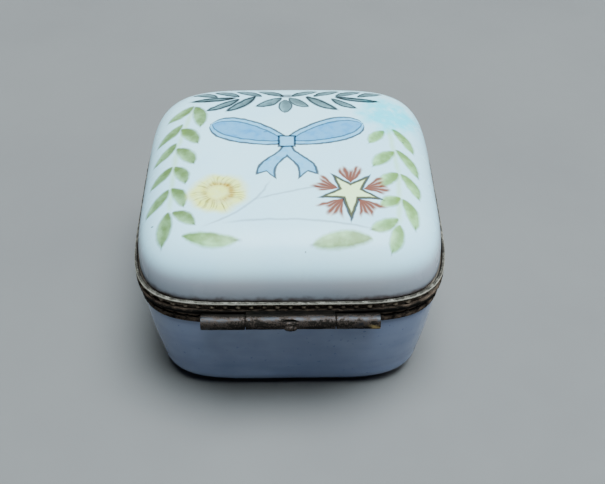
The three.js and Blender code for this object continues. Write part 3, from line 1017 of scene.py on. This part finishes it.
old_brass = aged_metal("old_brass", BAND_BRASS)
lit_pearl_brass = aged_metal("lit_pearl_brass", PEARL_BRASS_LIT, patchy=0.5, shine=0.2)
wire_brass = aged_metal("wire_brass", WIRE_SILVER_AND_HIGHLIGHT, grainy=0.5, shine=0.2, tarnish=WIRE_TARNISH)
hinge_brass = aged_metal("hinge_brass", HINGE_STEEL, patchy=2.3, grainy=1.9, tarnish=HINGE_TARNISH,
                         stretch=(0.5, 1, 1), gilded=1.0)
gilt_brass = aged_metal("gilt_brass", GILT, patchy=0.6)
plaster = plain_glaze("setting_plaster", light=(0.58, 0.53, 0.44, 1), dark=(0.40, 0.36, 0.29, 1),
                      size=1.5, rough=(0.8, 0.95))
print("metals:", old_brass.name, lit_pearl_brass.name, wire_brass.name, hinge_brass.name, gilt_brass.name)

# %% [markdown]
# ## The lid
# The lid is one piece of porcelain, hollow below: a cushion that is nearly flat on top and rolls over to
# its rim. A subdivided cube would give a similar cushion, but its rim would not meet the mount all round,
# so the section is swept. The rolled part has close rings and the flat top has wide ones.

# %% Model the lid
DOME_TOP_POWER = 5.0
DOME_SIDE_POWER = 2.7
FLAT_SHARE = 0.8  # share of the half width that counts as the flat top


def dome(half, top, bottom, flat_steps, side_steps):
    """A cushion's section from the middle of its top down to its rim."""
    points = [(0, top)]
    for i in range(1, flat_steps + 1):
        share = FLAT_SHARE * i / flat_steps
        rise = (1 - share ** DOME_TOP_POWER) ** (1 / DOME_SIDE_POWER)
        points.append((half * share, bottom + (top - bottom) * rise))
    first = math.acos(FLAT_SHARE ** (DOME_TOP_POWER / 2))
    for i in range(1, side_steps + 1):
        turn = first * (1 - i / side_steps)
        out = math.cos(turn) ** (2 / DOME_TOP_POWER)
        points.append((half * out, bottom + (top - bottom) * math.sin(turn) ** (2 / DOME_SIDE_POWER)))
    return points


lid_section = dome(lid_half, crown, lid_ledge, flat_steps=14, side_steps=18)
lid_section += [(lip_outer, lid_ledge), (lip_outer, lid_lip), (lid_inner, lid_lip)]
lid_section += reversed(dome(lid_inner, crown - LID_WALL, lid_ledge, flat_steps=8, side_steps=10))
lid_mesh = sweep(lid_section)
ripple(lid_mesh, depth=0.06, pitch=17)
outer_floor = lid_ledge - FIT
for face in lid_mesh.faces:
    middle = face.calc_center_median()
    inside = face.normal.z < 0 or middle.z / MM < outer_floor
    face.material_index = 1 if inside else 0
finish_piece(lid_mesh, "lid_shell", "lid", (painted_white, inside_white),
             ["lid_porcelain"])

# %% [markdown]
# ## The base
# The base is cast too: it widens from a rounded foot to the rim, stands on a bare ring and is white inside.
# Its section follows the solid's, with more points along the curves and a small bevel where glaze rounds
# every edge.

# %% Model the base
BASE_TAPER = 2.2
BASE_WALL = 3.0
FLOOR = 3.0
FOOT_RADIUS = 5.0
FOOT_RING = 3.2
FOOT_RECESS = 0.8
FLOOR_RADIUS = 4.0
BEZEL_DEPTH = 2.0
FLAT_RING = 10  # a ring of vertices that keeps the flat faces even
FOOT_EDGE = 0.5
side_foot = base_half - BASE_TAPER
foot_half = side_foot - FOOT_RADIUS
inner_foot = side_foot - BASE_WALL
recess_half = foot_half - FOOT_RING - FOOT_RECESS
side_pull = (base_half - BASE_TAPER / 4, (FOOT_RADIUS + base_ledge) / 2)

base_section = [(0, FOOT_RECESS), (FLAT_RING, FOOT_RECESS), (recess_half, FOOT_RECESS)]
base_section += [(foot_half - FOOT_RING, 0), (foot_half - FOOT_EDGE, 0)]
base_section += arc((foot_half, FOOT_RADIUS), FOOT_RADIUS, -90, 0, steps=12)
base_section += bow_curve((side_foot, FOOT_RADIUS), side_pull, (base_half, base_ledge), steps=12)[1:]
base_section += [(lip_outer, base_ledge), (lip_outer, base_lip), (base_inner, base_lip)]
base_section += [(base_inner, base_lip - BEZEL_DEPTH)]
base_section += arc((inner_foot - FLOOR_RADIUS, FLOOR + FLOOR_RADIUS), FLOOR_RADIUS, 0, -90, steps=8)
base_section += [(FLAT_RING, FLOOR), (0, FLOOR)]
base_mesh = sweep(base_section)
soften(base_mesh, width=0.15)
ripple(base_mesh, depth=0.05, pitch=15)
for vert in base_mesh.verts:
    vert.co.z = max(vert.co.z, 0)
print("the base's section has", len(base_section), "points")

# %% Share out the base's three finishes
BARE_BELOW = 0.2
inside_above = FLOOR - 0.5
inside_within = base_inner + 0.3
for face in base_mesh.faces:
    middle = face.calc_center_median()
    on_foot = middle.z / MM < BARE_BELOW
    inside = middle.z / MM > inside_above and outward(middle) < inside_within
    face.material_index = 2 if on_foot else int(inside)
finish_piece(base_mesh, "base_shell", "base", (blue_glaze, inside_white, bare_clay),
             ["base_porcelain"])

# %% [markdown]
# ## The bands
# Each mount is an angle of brass: a skirt round the porcelain and a flange over its lip, bedded in plaster.
# The flanges meet when the box is shut, and the crack between them holds grime and lies in shadow, most of
# all behind the barrel, so that shade is painted into the brass there. A noise alone would spread it
# everywhere, so wear is stored by how far out a vertex stands: fair on the skirt, less at the flange's
# edge, and least behind the barrel. The lid's band is given a higher fair wear than the base's, which
# paints light on it under the wire's shadow and paints the base's band darker.

# %% Where the bands are rubbed, and where grime and painted shade darken them
# grime and painted shade at the flange's edge, where the crack between the bands lies in shadow
EDGE_DIRT_AND_SHADE = 0.4
HINGE_DIRT_AND_SHADE = 0.25  # how much more of it lies behind the barrel
DIRT_AND_SHADE_RUN = 5.0  # how far past the barrel's ends that grime and painted shade go
HIDDEN_WEAR = 0.5
barrel_end, _, _ = extent("hinge_pin")


def rubbed(low, high, fair):
    """Wear that drops from a fair value at one half width to grime and painted shade at another."""
    def rule(vert):
        out = outward(vert.co)
        beside = 1 - max(0, abs(vert.co.x / MM) - barrel_end) / DIRT_AND_SHADE_RUN
        # grime and painted shade grow towards the flange's edge and behind the barrel
        dirt_and_shade = EDGE_DIRT_AND_SHADE + (HINGE_DIRT_AND_SHADE * max(0, beside) if vert.co.y < 0 else 0)
        if out < skirt_inner:
            return HIDDEN_WEAR
        return fair - dirt_and_shade * max(0, out - low) / (high - low)
    return rule


print(f"the dirt behind the barrel ends {barrel_end + DIRT_AND_SHADE_RUN:.1f} mm from the middle")

# %% Model the two bands
# painted light and shade: the lid's band is worn lighter than the base's, to light it under the wire's
# shadow, and the base's band is darker
LID_BAND_FAIR_AND_LIGHT = 0.72
BASE_BAND_FAIR_AND_SHADE = 0.46
lid_flange_top = lid_underside + SHEET
lid_band = sweep([(lid_inner, lid_underside), (lid_rim, lid_underside), (lid_rim, lid_flange_top),
                  (skirt_outer, lid_flange_top), (skirt_outer, lid_skirt_top),
                  (skirt_inner, lid_skirt_top), (skirt_inner, lid_flange_top),
                  (lid_inner, lid_flange_top)], closed=True)
soften(lid_band, width=0.12)
ripple(lid_band, depth=0.03, pitch=6)
wear_by(lid_band, rubbed(skirt_outer, lid_rim, LID_BAND_FAIR_AND_LIGHT))
finish_piece(lid_band, "lid_band", "lid", (old_brass,), ["lid_mount"])

flange_bottom = parting - SHEET
rolled = skirt_outer + EDGE_ROLL
roll_bottom = base_skirt_bottom + SHEET
rim_bottom = flange_bottom - (base_rim - skirt_outer)
base_band = sweep([(skirt_inner, base_skirt_bottom), (rolled, base_skirt_bottom), (rolled, roll_bottom),
                   (skirt_outer, roll_bottom + EDGE_ROLL), (skirt_outer, rim_bottom),
                   (base_rim, flange_bottom), (base_rim, parting), (base_inner, parting),
                   (base_inner, flange_bottom), (skirt_inner, flange_bottom)], closed=True)
soften(base_band, width=0.1)
ripple(base_band, depth=0.03, pitch=6)
wear_by(base_band, rubbed(skirt_outer, base_rim, BASE_BAND_FAIR_AND_SHADE))
finish_piece(base_band, "base_band", "base", (old_brass,), ["base_mount"])

# %% [markdown]
# ## The edge wire and the bezel
# A wire is soldered along the top of the lid's band, and polishing has worn it thinner than it was drawn.
# It is rubbed bright on its outer face, where a cloth reaches, and a highlight line is painted there too.
# It is dark in the groove behind it, from grime and painted shade. The bezel is a plain ring inside the
# base's rim that guides the lid shut. A curve with a bevel depth would make a wire too, but a swept circle
# has vertices that can hold the wear.

# %% Model the edge wire and the bezel
WORN_SHARE = 0.73  # share of the wire's thickness that polishing has left
RUB_AND_HIGHLIGHT_LEAN = 5  # the wire is rubbed bright, and a highlight is painted, where it faces out and leans up by these degrees
RUB_AND_HIGHLIGHT_SPREAD = 48
GROOVE_LEAN = 145  # the lean at which the top ends in the groove
GROOVE_FADE = 30
WIRE_TOP = 0.5
# grime and painted shade in the groove behind the wire, the least wear it has
WIRE_DIRT_AND_SHADE = 0.12
WIRE_SIDES = 14
WIRE_STEPS = 288
worn_radius = wire_radius * WORN_SHARE
wire_level = wire_bottom + worn_radius


def wire_wear_and_light(vert):
    """Rubbed bright with a painted highlight on the wire's outer face, dull on top, and dark in the groove
    behind it from grime and painted shade.
    """
    lean = math.degrees(math.atan2(vert.co.z / MM - wire_level, outward(vert.co) - wire_half))
    dull = WIRE_TOP * min(1, (GROOVE_LEAN - lean) / GROOVE_FADE) if lean > 0 else 0
    return max(WIRE_DIRT_AND_SHADE, dull, 1 - ((lean - RUB_AND_HIGHLIGHT_LEAN) / RUB_AND_HIGHLIGHT_SPREAD) ** 2)


wire_section = arc((wire_half, wire_level), worn_radius, 0, 360, WIRE_SIDES)[:-1]
wire = sweep(wire_section, closed=True, steps=WIRE_STEPS)
ripple(wire, depth=0.035, pitch=2.2)
wear_by(wire, wire_wear_and_light)
finish_piece(wire, "lid_wire", "lid", (wire_brass,), ["lid_edge_wire"])

BEZEL_SHEET = 0.45
BEZEL_FAIR = 0.6
BEZEL_RUB = 0.2
bezel_inner = bezel_outer - BEZEL_SHEET
bezel = sweep([(bezel_inner, bezel_bottom), (bezel_outer, bezel_bottom), (bezel_outer, bezel_top),
               (bezel_inner, bezel_top)], closed=True)
soften(bezel, width=0.16, segments=3)
ripple(bezel, depth=0.03, pitch=8)
wear_by(bezel, lambda vert: BEZEL_FAIR + BEZEL_RUB * vert.normal.z)
finish_piece(bezel, "base_bezel_ring", "base", (gilt_brass,), ["base_bezel"])

# %% [markdown]
# ## Pearls
# A row of small pearls is stamped into each band. They could be a bump in the brass, but their outline
# shows at the corners, so they are small spheres half sunk in the band, with a thin ridge between them.
# There are many, so each has only a few dozen faces. Their spacing is even along the plan, not by angle.

# %% Even places round the plan
PEARL_COUNT = 88
TRIAL_STEPS = 1760


def ring_places(half, count):
    """Evenly spaced places round a ring, starting at the hinge side."""
    turns = [math.tau * i / TRIAL_STEPS - math.pi / 2 for i in range(TRIAL_STEPS + 1)]
    trail = []
    for turn in turns:
        across, along = math.cos(turn), math.sin(turn)
        trail.append(Vector((across, along)) * half * plan_stretch(half, across, along))
    lengths = [0]
    for before, after in zip(trail, trail[1:]):
        lengths.append(lengths[-1] + (after - before).length)
    places = []
    for i in range(count):
        spot = next(n for n, length in enumerate(lengths) if length >= lengths[-1] * i / count)
        places.append(trail[spot])
    return places


print(PEARL_COUNT, "places in each row")

# %% Model the two rows of pearls
PEARL_UNEVEN = 0.07  # how much the pearls differ in size
PEARL_TURN = 2.4
PEARL_RUB = 0.18
RIDGE_SHARE = 0.45  # thickness of the ridge, as a share of a pearl's
RIDGE_SINK = 0.05
# painted light and shade: the lid's pearls are lighter than the base's, to light them under the wire's
# shadow
LID_PEARL_FAIR_AND_LIGHT = 0.45
BASE_PEARL_FAIR_AND_SHADE = 0.16


def pearl_row(name, body, node, fair):
    """A strip of pearls that fills the height of its solid, with a fair wear at their feet."""
    reach, bottom, top = extent(node)
    radius = (top - bottom) / 2
    back = reach - radius
    centre = (top + bottom) / 2
    bm = sweep(arc((back - RIDGE_SINK, centre), radius * RIDGE_SHARE, -90, 90, 4), closed=True)
    for index, place in enumerate(ring_places(back, PEARL_COUNT)):
        size = radius * (1 + PEARL_UNEVEN * math.sin(index * PEARL_TURN))
        matrix = Matrix.Translation((place.x * MM, place.y * MM, centre * MM)) @ Matrix.Scale(size * MM, 4)
        bmesh.ops.create_uvsphere(bm, u_segments=10, v_segments=6, radius=1, matrix=matrix)
    wear_by(bm, lambda vert: fair + PEARL_RUB * (outward(vert.co) - back) / radius)
    finish_piece(bm, name, body, (lit_pearl_brass,), [node])


pearl_row("lid_pearls", "lid", "lid_pearl_strip", LID_PEARL_FAIR_AND_LIGHT)
pearl_row("base_pearls", "base", "base_pearl_strip", BASE_PEARL_FAIR_AND_SHADE)

# %% [markdown]
# ## The hinge
# Three knuckles are rolled from sheet and threaded on one wire pin. The outer two belong to the base and
# the middle one to the lid. The middle one is dented by a punch, with a lump below the dent that may stop
# the lid when it leans back. A cylinder primitive has no vertices along its length to dent, so the
# knuckle's section is subdivided first and then spun round the hinge line. Wear is stored as on the bands.

# %% Spin a knuckle round the hinge line
hinge_line = Vector(next(joint for joint in frame["joints"] if joint["name"] == "lid_hinge")["pos_m"])
pin_low, pin_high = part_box("hinge_pin")
pin_radius = (pin_high.z - pin_low.z) / 2 / MM
PIN_RUN = 0.08
KNUCKLE_STEPS = 96
DENT_PITCH = 0.2


def barrel_frame(vert):
    """How far along the hinge a vertex lies, how far from it, and its angle over the top in degrees."""
    away = vert.co - hinge_line
    return away.x / MM, away.yz.length / MM, math.degrees(math.atan2(away.z, away.y)) % 360


def move_out(vert, distance):
    """Moves a vertex straight away from the hinge line."""
    away = vert.co - hinge_line
    away.x = 0
    vert.co += away.normalized() * distance * MM


def hinge_section(section, closed=False):
    """A bmesh that holds (along, radius) points above the hinge line."""
    return draw_section([(x * MM, hinge_line.y, hinge_line.z + r * MM) for x, r in section], closed)


def spin_round_hinge(bm, steps):
    spin_section(bm, (1, 0, 0), hinge_line, steps)
    bmesh.ops.recalc_face_normals(bm, faces=bm.faces)


def roll_knuckle(node, bore, end_round):
    """A tube with rounded ends, cut into short rings so that it can be dented."""
    low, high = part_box(node)
    radius = (high.z - hinge_line.z) / MM
    ends = (low.x / MM, high.x / MM)
    section = [(ends[0], bore), (ends[0], radius - end_round), (ends[0] + end_round, radius),
               (ends[1] - end_round, radius), (ends[1], radius - end_round), (ends[1], bore)]
    bm = hinge_section(section, closed=True)
    cuts = int((ends[1] - ends[0]) / DENT_PITCH)
    bmesh.ops.subdivide_edges(bm, edges=[bm.edges[:][2]], cuts=cuts)
    spin_round_hinge(bm, KNUCKLE_STEPS)
    return bm, radius


print(f"hinge line at y {hinge_line.y / MM:.2f}, z {hinge_line.z / MM:.2f} mm")
print(f"pin radius {pin_radius:.2f} mm")

# %% The punched notch and the lump
NOTCH_ANGLE = 138
NOTCH_HALF_LENGTH = 1.55
NOTCH_HALF_HEIGHT = 0.5
NOTCH_DEPTH = 0.42
LUMP_ANGLE = 197
LUMP_HALF_LENGTH = 1.25
LUMP_HALF_HEIGHT = 0.62
LUMP_HEIGHT = 0.48
# grime and painted shade under the notch's upper edge, and grime on its floor
NOTCH_DIRT_AND_SHADE = 0.65
NOTCH_FLOOR_DIRT = 0.15
NOTCH_SPREAD = 30  # degrees from its middle that the notch can reach
NOTCH_STARTS = 0.06  # how far below the skin a vertex counts as cut


def punch_and_lump(x, angle, radius):
    """How far the middle knuckle's skin moves out at a point: a lens-shaped cut and a rounded lump."""
    lens = NOTCH_HALF_HEIGHT * (1 - (x / NOTCH_HALF_LENGTH) ** 2)
    below = math.radians(angle - NOTCH_ANGLE) * radius
    cut = NOTCH_DEPTH * (lens - below) / (2 * NOTCH_HALF_HEIGHT) if abs(below) < lens else 0
    around = math.radians(angle - LUMP_ANGLE) * radius
    lump = max(0, 1 - (x / LUMP_HALF_LENGTH) ** 2 - (around / LUMP_HALF_HEIGHT) ** 2)
    return LUMP_HEIGHT * math.sqrt(lump) - cut


def in_notch(vert, radius, punched):
    """How much the cut is darkened at a vertex: plenty under its upper edge, by grime and painted shade,
    and a little on its floor, by grime.
    """
    x, away, angle = barrel_frame(vert)
    near = abs(x) < NOTCH_HALF_LENGTH and abs(angle - NOTCH_ANGLE) < NOTCH_SPREAD
    if not (punched and near and away < radius - NOTCH_STARTS):
        return 0
    return NOTCH_DIRT_AND_SHADE if angle < NOTCH_ANGLE else NOTCH_FLOOR_DIRT


print(f"the notch is {2 * NOTCH_HALF_LENGTH:.1f} mm long and {NOTCH_DEPTH} mm deep")

# %% Where the barrel is rubbed, and where light and shade are painted on it
BARREL_FAIR = 0.3
# rubbed on top, which also paints the highlight along the barrel's top
BARREL_RUB_AND_HIGHLIGHT = 0.38
BACK_DIRT_AND_SHADE = 2.0  # how fast grime and painted shade grow on the side that faces the bands
BACK_LEAN = 0.12
# a darker line along the barrel, where its surface faces partly up
STREAK_DARKENING = 0.22
STREAK_LEAN = 0.58  # how far up the surface faces where the streak lies
STREAK_SPREAD = 0.3
END_RUB = 0.4  # how much brighter the barrel's ends are
END_RUB_LENGTH = 1.6


def streak(vert):
    """How much darker a vertex is on a line along the barrel where its surface faces partly up."""
    return STREAK_DARKENING * max(0, 1 - ((vert.normal.z - STREAK_LEAN) / STREAK_SPREAD) ** 2)


def end_rub(vert):
    """How much a vertex near an end of the barrel is rubbed."""
    near = max(0, abs(vert.co.x / MM) - barrel_end + END_RUB_LENGTH) / END_RUB_LENGTH
    return END_RUB * near * max(0, vert.normal.z)


def barrel_wear_and_light(vert):
    """Rubbed on top and at the ends, with a painted highlight on top, streaked below, and dark at the back
    from grime and painted shade.
    """
    top = BARREL_FAIR + BARREL_RUB_AND_HIGHLIGHT * max(0, vert.normal.z)
    back = BACK_DIRT_AND_SHADE * max(0, vert.normal.y + BACK_LEAN)
    return top - back - streak(vert) + end_rub(vert)


print(f"the barrel is rubbed {END_RUB_LENGTH} mm from each end")

# %% Model the three knuckles
HAMMERED = 0.05
HAMMER_PITCH = 1.7
SKIN = 0.05
END_ROUND = 0.06


def knuckle(name, body, node, punched):
    bm, radius = roll_knuckle(node, pin_radius + PIN_RUN, END_ROUND)
    for vert in bm.verts:
        x, away, angle = barrel_frame(vert)
        if away > radius - SKIN:
            dents = HAMMERED * (noise.noise(vert.co / (HAMMER_PITCH * MM)) - 0.5)
            move_out(vert, dents + (punch_and_lump(x, angle, radius) if punched else 0))
    wear_by(bm, lambda vert: barrel_wear_and_light(vert) - in_notch(vert, radius, punched))
    finish_piece(bm, name, body, (hinge_brass,), [node])


knuckle("knuckle_left", "base", "hinge_knuckle_left", False)
knuckle("knuckle_centre", "lid", "hinge_knuckle_centre", True)
knuckle("knuckle_right", "base", "hinge_knuckle_right", False)

# %% Model the pin
PIN_DOME = 0.12
PIN_STEPS = 24
pin_left = pin_low.x / MM
pin_right = pin_high.x / MM
dome_radius = pin_radius * 0.7
pin = hinge_section([(pin_left, 0), (pin_left + PIN_DOME / 3, dome_radius),
                     (pin_left + PIN_DOME, pin_radius), (pin_right - PIN_DOME, pin_radius),
                     (pin_right - PIN_DOME / 3, dome_radius), (pin_right, 0)])
spin_round_hinge(pin, PIN_STEPS)
wear_by(pin, lambda vert: HIDDEN_WEAR)
finish_piece(pin, "hinge_pin_wire", "base", (hinge_brass,), ["hinge_pin"])

# %% [markdown]
# ## The thumb lift
# A small shell-shaped tab on the front band lifts the lid. It is half a turned disc with ribs that run out
# from its root, so a section is spun through half a turn, and the ribs are vertex moves that follow the
# angle. The open back is closed with a fill, because it is set against the band.

# %% Model the thumb lift
THUMB_RIBS = 9
RIB_HEIGHT = 0.1
RIB_DEPTH = 0.04  # how far the edge draws in between two ribs
THUMB_STEPS = 54
THUMB_FAIR = 0.45
THUMB_RUB = 0.1
THUMB_EDGE = (70, 40, 10, -20, -50, -80)  # angles of the points that round its edge
thumb_low, thumb_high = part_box("thumb_lift")
thumb_root = lid_rim + FIT
thumb_reach = thumb_high.y / MM - thumb_root
thumb_half = thumb_high.x / MM
thumb_bottom = thumb_low.z / MM
thumb_thick = (thumb_high.z - thumb_low.z) / MM - RIB_HEIGHT
thumb_round = thumb_thick / 2
# A point of the section is a share of the tab's reach and a height in millimetres
thumb_section = [(0, thumb_thick), (0.3, thumb_thick), (0.6, thumb_thick), (0.8, thumb_thick * 0.96)]
for angle in THUMB_EDGE:
    lean = math.radians(angle)
    thumb_section.append((0.9 + 0.1 * math.cos(lean), thumb_round * (1 + math.sin(lean) * 0.9)))
thumb_section += [(0.8, 0), (0.4, 0), (0, 0)]
thumb = draw_section([(out, 0, height) for out, height in thumb_section])
bmesh.ops.spin(thumb, geom=thumb.verts[:] + thumb.edges[:], axis=(0, 0, 1), cent=(0, 0, 0), angle=math.pi,
               steps=THUMB_STEPS)
bmesh.ops.remove_doubles(thumb, verts=thumb.verts, dist=SAME_PLACE)
bmesh.ops.holes_fill(thumb, edges=[edge for edge in thumb.edges if edge.is_boundary])
for vert in thumb.verts:
    out = vert.co.xy.length
    turn = math.atan2(vert.co.y, vert.co.x)
    rib = math.cos(turn * 2 * THUMB_RIBS)
    share = 1 - RIB_DEPTH * out * (1 - rib)
    vert.co.z += RIB_HEIGHT * out * (rib if vert.co.z > thumb_round else 0)
    vert.co.x *= share * thumb_half * MM
    vert.co.y = (thumb_root + vert.co.y * share * thumb_reach) * MM
    vert.co.z = (thumb_bottom + vert.co.z) * MM
bmesh.ops.recalc_face_normals(thumb, faces=thumb.faces)
wear_by(thumb, lambda vert: THUMB_FAIR + THUMB_RUB * vert.normal.z)
finish_piece(thumb, "thumb_shell", "lid", (old_brass,), ["thumb_lift"])

# %% [markdown]
# ## Solids that stay as they are
# The plaster rings and the two strips that carry the hinge are plain shapes that hardly show. Their solids
# are already right, so they only get a finish. The strips lie in the crack behind the barrel, so they get a
# near-black finish that paints the shade of that crack.

# %% Finishes for the carried-over solids
# painted shade: a near-black finish for the strips in the crack behind the barrel
CRACK_SHADE_SPECULAR = 0.03
painted_crack_shade = plain_glaze("painted_crack_shade", light=(0.006, 0.005, 0.004, 1), dark=(0.002, 0.002, 0.002, 1),
                          size=0.8, rough=(0.85, 1.0))
crack_shade_shader = painted_crack_shade.node_tree.nodes["Principled BSDF"]
crack_shade_shader.inputs["Specular IOR Level"].default_value = CRACK_SHADE_SPECULAR
for node, material in (("base_bedding", plaster), ("lid_bedding", plaster), ("base_bearer", painted_crack_shade),
                       ("lid_bearer", painted_crack_shade)):
    mesh = frame["nodes"][node].data
    mesh.materials.clear()
    mesh.materials.append(material)
    print(node, "has", material.name)

# %% [markdown]
# ## Floor, light and camera
# The box stands on a plain pale floor under a wide, soft patch of light overhead, so its near sides fall
# into shade. A square lamp alone would do, but its hard edge would show in the glaze. So most of the light
# is a glow in the surround that fades to all sides, and a lamp from the right only sets the two sides
# apart. The camera looks down on the hinge side. Its place is written as angles and a distance, which are
# easier to judge than a matrix.

# %% Floor
FLOOR_HALF = 6.0
floor_mesh = bmesh.new()
bmesh.ops.create_grid(floor_mesh, x_segments=2, y_segments=2, size=FLOOR_HALF)
floor_data = bpy.data.meshes.new("floor")
floor_mesh.to_mesh(floor_data)
floor_mesh.free()
pale_floor = plain_glaze("pale_floor", light=(0.135, 0.135, 0.133, 1), dark=(0.125, 0.125, 0.125, 1),
                         size=60.0, rough=(0.6, 0.8))
floor_data.materials.append(pale_floor)
floor = bpy.data.objects.new("floor", floor_data)
bpy.context.scene.collection.objects.link(floor)
print("floor", FLOOR_HALF * 2, "m across")

# %% Lamp from the right
LAMP_PLACE = Vector((0.9, 0.1, 0.7))
LAMP_AIM = Vector((0, 0, 0.03))
LAMP_SIZE = 0.6
LAMP_WATTS = 3.2
LAMP_COLOUR = (0.90, 0.97, 1.0)

lamp_data = bpy.data.lights.new("right_lamp", "AREA")
lamp_data.shape = "SQUARE"
lamp_data.size = LAMP_SIZE
lamp_data.energy = LAMP_WATTS
lamp_data.color = LAMP_COLOUR
lamp = bpy.data.objects.new("right_lamp", lamp_data)
lamp.location = LAMP_PLACE
lamp.rotation_euler = (LAMP_AIM - LAMP_PLACE).to_track_quat("-Z", "Y").to_euler()
bpy.context.scene.collection.objects.link(lamp)
print("lamp", round((LAMP_AIM - LAMP_PLACE).length, 2), "m away")

# %% Glow overhead
GLOW_AXIS = Vector((0.14, -0.05, 1.0)).normalized()
GLOW_EDGE = math.cos(math.radians(26))
GLOW_CORE = math.cos(math.radians(4))
GLOW_STRENGTH = 32.0
DIM_STRENGTH = 0.04
GLOW_COLOUR = (0.84, 0.95, 1.0, 1)


def soft_sky():
    """A surround with a glow overhead that fades to dim, with no edge that a glaze could mirror."""
    world = bpy.data.worlds.new("studio")
    world.use_nodes = True
    tree = world.node_tree
    direction = tree.nodes.new("ShaderNodeTexCoord")
    facing = tree.nodes.new("ShaderNodeVectorMath")
    facing.operation = "DOT_PRODUCT"
    facing.inputs[1].default_value = GLOW_AXIS
    tree.links.new(direction.outputs["Generated"], facing.inputs[0])
    nearness = NodeValue(tree, facing.outputs["Value"])
    background = tree.nodes["Background"]
    background.inputs["Color"].default_value = GLOW_COLOUR
    strength = nearness.fade(GLOW_EDGE, GLOW_CORE, DIM_STRENGTH, GLOW_STRENGTH)
    feed(background.inputs["Strength"], strength)
    bpy.context.scene.world = world


soft_sky()
print("the glow is", GLOW_STRENGTH / DIM_STRENGTH, "times as bright as the rest of the surround")

# %% Camera
IMAGE_WIDTH = 605
FOCAL_PIXELS = 999.0
SENSOR = 36.0
AZIMUTH = math.radians(-1.042)
ELEVATION = math.radians(41.82)
ROLL = math.radians(0.293)
DISTANCE = 207.2
AIM_HEIGHT = 20.0
SIDE_SHIFT = 2.657
UP_SHIFT = -3.411
CLIP_START = 0.01

camera_data = bpy.data.cameras.new("camera")
camera_data.sensor_width = SENSOR
camera_data.lens = FOCAL_PIXELS * SENSOR / IMAGE_WIDTH
camera = bpy.data.objects.new("camera", camera_data)
bpy.context.scene.collection.objects.link(camera)
back = Vector((math.sin(AZIMUTH) * math.cos(ELEVATION), -math.cos(AZIMUTH) * math.cos(ELEVATION),
               math.sin(ELEVATION)))
right = Vector((math.cos(AZIMUTH), math.sin(AZIMUTH), 0))
up = back.cross(right)
turn = Matrix.Rotation(ROLL, 3, back)
eye = right * SIDE_SHIFT + up * UP_SHIFT + Vector((0, 0, AIM_HEIGHT)) + back * DISTANCE
axes = Matrix((turn @ right, turn @ up, back)).transposed()
camera.matrix_world = Matrix.Translation(eye * MM) @ axes.to_4x4()
camera_data.clip_start = CLIP_START
bpy.context.scene.camera = camera
print("camera at", [round(value, 4) for value in eye * MM], "m")
